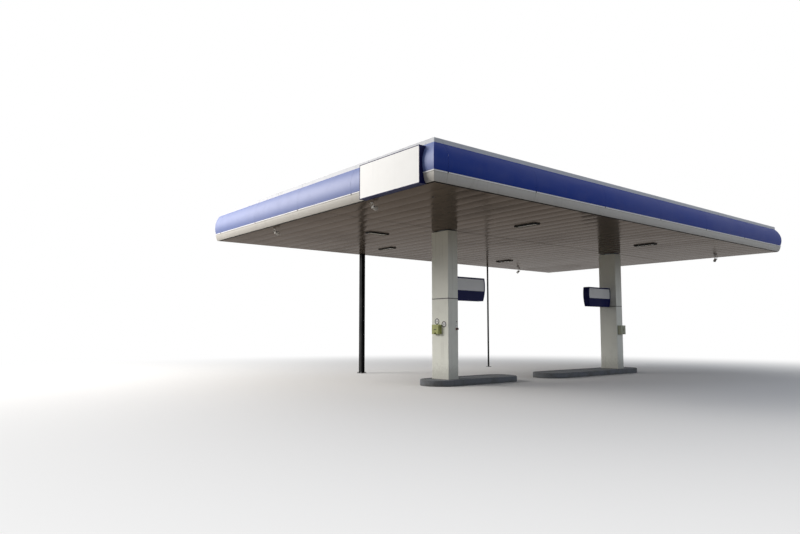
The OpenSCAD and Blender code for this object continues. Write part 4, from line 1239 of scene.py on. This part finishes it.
def add_softbox(name, place, aim, size, watts, colour):
    """A rectangular lamp pointed at a place."""
    lamp = bpy.data.lights.new(name, "AREA")
    lamp.shape = "RECTANGLE"
    lamp.size, lamp.size_y = size
    lamp.energy = watts
    lamp.color = tone(colour)[:3]
    softbox = bpy.data.objects.new(name, lamp)
    softbox.location = place
    softbox.rotation_euler = (Vector(aim) - Vector(place)).to_track_quat("-Z", "Y").to_euler()
    softbox.visible_camera = False
    bpy.context.scene.collection.objects.link(softbox)


def build_lamps(settings):
    """A large softbox from the left and rear, and a weak one from the front."""
    add_softbox(
        "key_softbox", (-23.0, 16.5, 14.5), (-6.0, 0.0, 4.5), (19.0, 14.0),
        settings.key_watts, "FFFAF4"
    )
    add_softbox(
        "fill_softbox", (4.0, -26.0, 10.0), (0.0, 0.0, 2.5), (16.0, 8.0),
        settings.fill_watts, "EAF1FF"
    )


FRAME_WIDTH = 800
SENSOR = 36.0


def build_camera(settings):
    """The camera at the photograph's viewing angle."""
    camera = bpy.data.cameras.new("studio_camera")
    camera.sensor_width = SENSOR
    camera.sensor_fit = "HORIZONTAL"
    camera.lens = settings.focal_pixels / FRAME_WIDTH * SENSOR
    camera.shift_y = settings.axis_drop / FRAME_WIDTH
    camera.clip_end = 400.0
    camera.dof.use_dof = False
    holder = bpy.data.objects.new("studio_camera", camera)
    holder.location = settings.camera_place
    holder.rotation_euler = (math.pi / 2 + settings.camera_rise, 0.0, -settings.camera_turn)
    bpy.context.scene.collection.objects.link(holder)
    bpy.context.scene.camera = holder


class CANOPY_OT_post_anchors(bpy.types.Operator):
    """Makes the anchors in the foot plates of both posts"""

    bl_idname = "canopy.post_anchors"
    bl_label = "Post Anchors"

    def execute(self, context):
        build_post_anchors()
        return {"FINISHED"}


class CANOPY_OT_casing_screws(bpy.types.Operator):
    """Makes the screws of the column casings"""

    bl_idname = "canopy.casing_screws"
    bl_label = "Casing Screws"

    def execute(self, context):
        build_casing_screws()
        return {"FINISHED"}


class CANOPY_OT_foot_sealant(bpy.types.Operator):
    """Makes the sealant round the feet of the columns"""

    bl_idname = "canopy.foot_sealant"
    bl_label = "Foot Sealant"

    def execute(self, context):
        build_foot_sealant()
        return {"FINISHED"}


class CANOPY_OT_trim_rivets(bpy.types.Operator):
    """Makes the rivets of the top trim"""

    bl_idname = "canopy.trim_rivets"
    bl_label = "Trim Rivets"

    def execute(self, context):
        build_trim_rivets()
        return {"FINISHED"}


class CANOPY_OT_lip_clips(bpy.types.Operator):
    """Makes the clips in the lip of the lower band"""

    bl_idname = "canopy.lip_clips"
    bl_label = "Lip Clips"

    def execute(self, context):
        build_lip_clips()
        return {"FINISHED"}


class CANOPY_OT_lamp_gaskets(bpy.types.Operator):
    """Makes the gaskets and screws of the soffit lamps"""

    bl_idname = "canopy.lamp_gaskets"
    bl_label = "Lamp Gaskets"

    def execute(self, context):
        build_lamp_gaskets()
        return {"FINISHED"}


class CANOPY_OT_spotlights(bpy.types.Operator):
    """Makes the spotlights with their glasses and knobs"""

    bl_idname = "canopy.spotlights"
    bl_label = "Spotlights"

    def execute(self, context):
        build_spotlights()
        build_spot_glasses()
        return {"FINISHED"}


class CANOPY_OT_sign_screws(bpy.types.Operator):
    """Makes the screws of the column signs"""

    bl_idname = "canopy.sign_screws"
    bl_label = "Sign Screws"

    def execute(self, context):
        build_sign_screws()
        return {"FINISHED"}


class CANOPY_OT_towel_fittings(bpy.types.Operator):
    """Makes the locks and windows of the towel boxes"""

    bl_idname = "canopy.towel_fittings"
    bl_label = "Towel Box Fittings"

    def execute(self, context):
        build_towel_fittings()
        return {"FINISHED"}


class CANOPY_OT_plate_rings(bpy.types.Operator):
    """Makes the dark rings of the round plates"""

    bl_idname = "canopy.plate_rings"
    bl_label = "Plate Rings"

    def execute(self, context):
        build_plate_rings()
        return {"FINISHED"}


class CANOPY_OT_column_switch(bpy.types.Operator):
    """Makes the stop switch and the small plate and signal above it"""

    bl_idname = "canopy.column_switch"
    bl_label = "Column Switch"

    def execute(self, context):
        build_column_switch()
        return {"FINISHED"}


class CANOPY_OT_soffit_sensor(bpy.types.Operator):
    """Makes the dome sensor under the soffit"""

    bl_idname = "canopy.soffit_sensor"
    bl_label = "Soffit Sensor"

    def execute(self, context):
        build_soffit_sensor()
        return {"FINISHED"}


class CANOPY_OT_roof_screws(bpy.types.Operator):
    """Makes the screws of the roof sheets"""

    bl_idname = "canopy.roof_screws"
    bl_label = "Roof Screws"

    def execute(self, context):
        build_roof_screws()
        return {"FINISHED"}


class CANOPY_OT_gutter_straps(bpy.types.Operator):
    """Makes the straps across the gutter"""

    bl_idname = "canopy.gutter_straps"
    bl_label = "Gutter Straps"

    def execute(self, context):
        build_gutter_straps()
        return {"FINISHED"}


class CANOPY_OT_stage(bpy.types.Operator):
    """Makes the floor, the light and the camera"""

    bl_idname = "canopy.stage"
    bl_label = "Stage"

    def execute(self, context):
        settings = context.scene.canopy_stage
        build_world(settings)
        build_floor()
        build_lamps(settings)
        build_camera(settings)
        context.scene.view_settings.view_transform = "Standard"
        return {"FINISHED"}


OPERATORS = (
    CANOPY_OT_finishes, CANOPY_OT_post_anchors, CANOPY_OT_casing_screws, CANOPY_OT_foot_sealant,
    CANOPY_OT_trim_rivets, CANOPY_OT_lip_clips, CANOPY_OT_lamp_gaskets, CANOPY_OT_spotlights,
    CANOPY_OT_sign_screws, CANOPY_OT_towel_fittings, CANOPY_OT_plate_rings, CANOPY_OT_column_switch,
    CANOPY_OT_soffit_sensor, CANOPY_OT_roof_screws, CANOPY_OT_gutter_straps, CANOPY_OT_stage,
)


class CANOPY_PT_panel(bpy.types.Panel):
    """Lists the steps that dress the canopy"""

    bl_idname = "CANOPY_PT_panel"
    bl_label = "Canopy"
    bl_space_type = "VIEW_3D"
    bl_region_type = "UI"
    bl_category = "Canopy"

    def draw(self, context):
        for step in OPERATORS:
            self.layout.operator(step.bl_idname)
        for settings in (context.scene.canopy_finish, context.scene.canopy_stage):
            box = self.layout.box()
            for name in settings.__annotations__:
                box.prop(settings, name)


CLASSES = (CanopyFinishSettings, CanopyStageSettings, *OPERATORS, CANOPY_PT_panel)


def register():
    """Makes the settings, steps and panel known to Blender."""
    for item in CLASSES:
        bpy.utils.register_class(item)
    bpy.types.Scene.canopy_finish = bpy.props.PointerProperty(type=CanopyFinishSettings)
    bpy.types.Scene.canopy_stage = bpy.props.PointerProperty(type=CanopyStageSettings)


def unregister():
    """Takes them away again."""
    del bpy.types.Scene.canopy_stage
    del bpy.types.Scene.canopy_finish
    for item in reversed(CLASSES):
        bpy.utils.unregister_class(item)


def main():
    """Dresses the canopy."""
    register()
    steps = bpy.ops.canopy
    for run in (
        steps.finishes, steps.post_anchors, steps.casing_screws, steps.foot_sealant,
        steps.trim_rivets, steps.lip_clips, steps.lamp_gaskets, steps.spotlights, steps.sign_screws,
        steps.towel_fittings, steps.plate_rings, steps.column_switch, steps.soffit_sensor,
        steps.roof_screws, steps.gutter_straps, steps.stage,
    ):
        run()


if __name__ == "__main__":
    main()
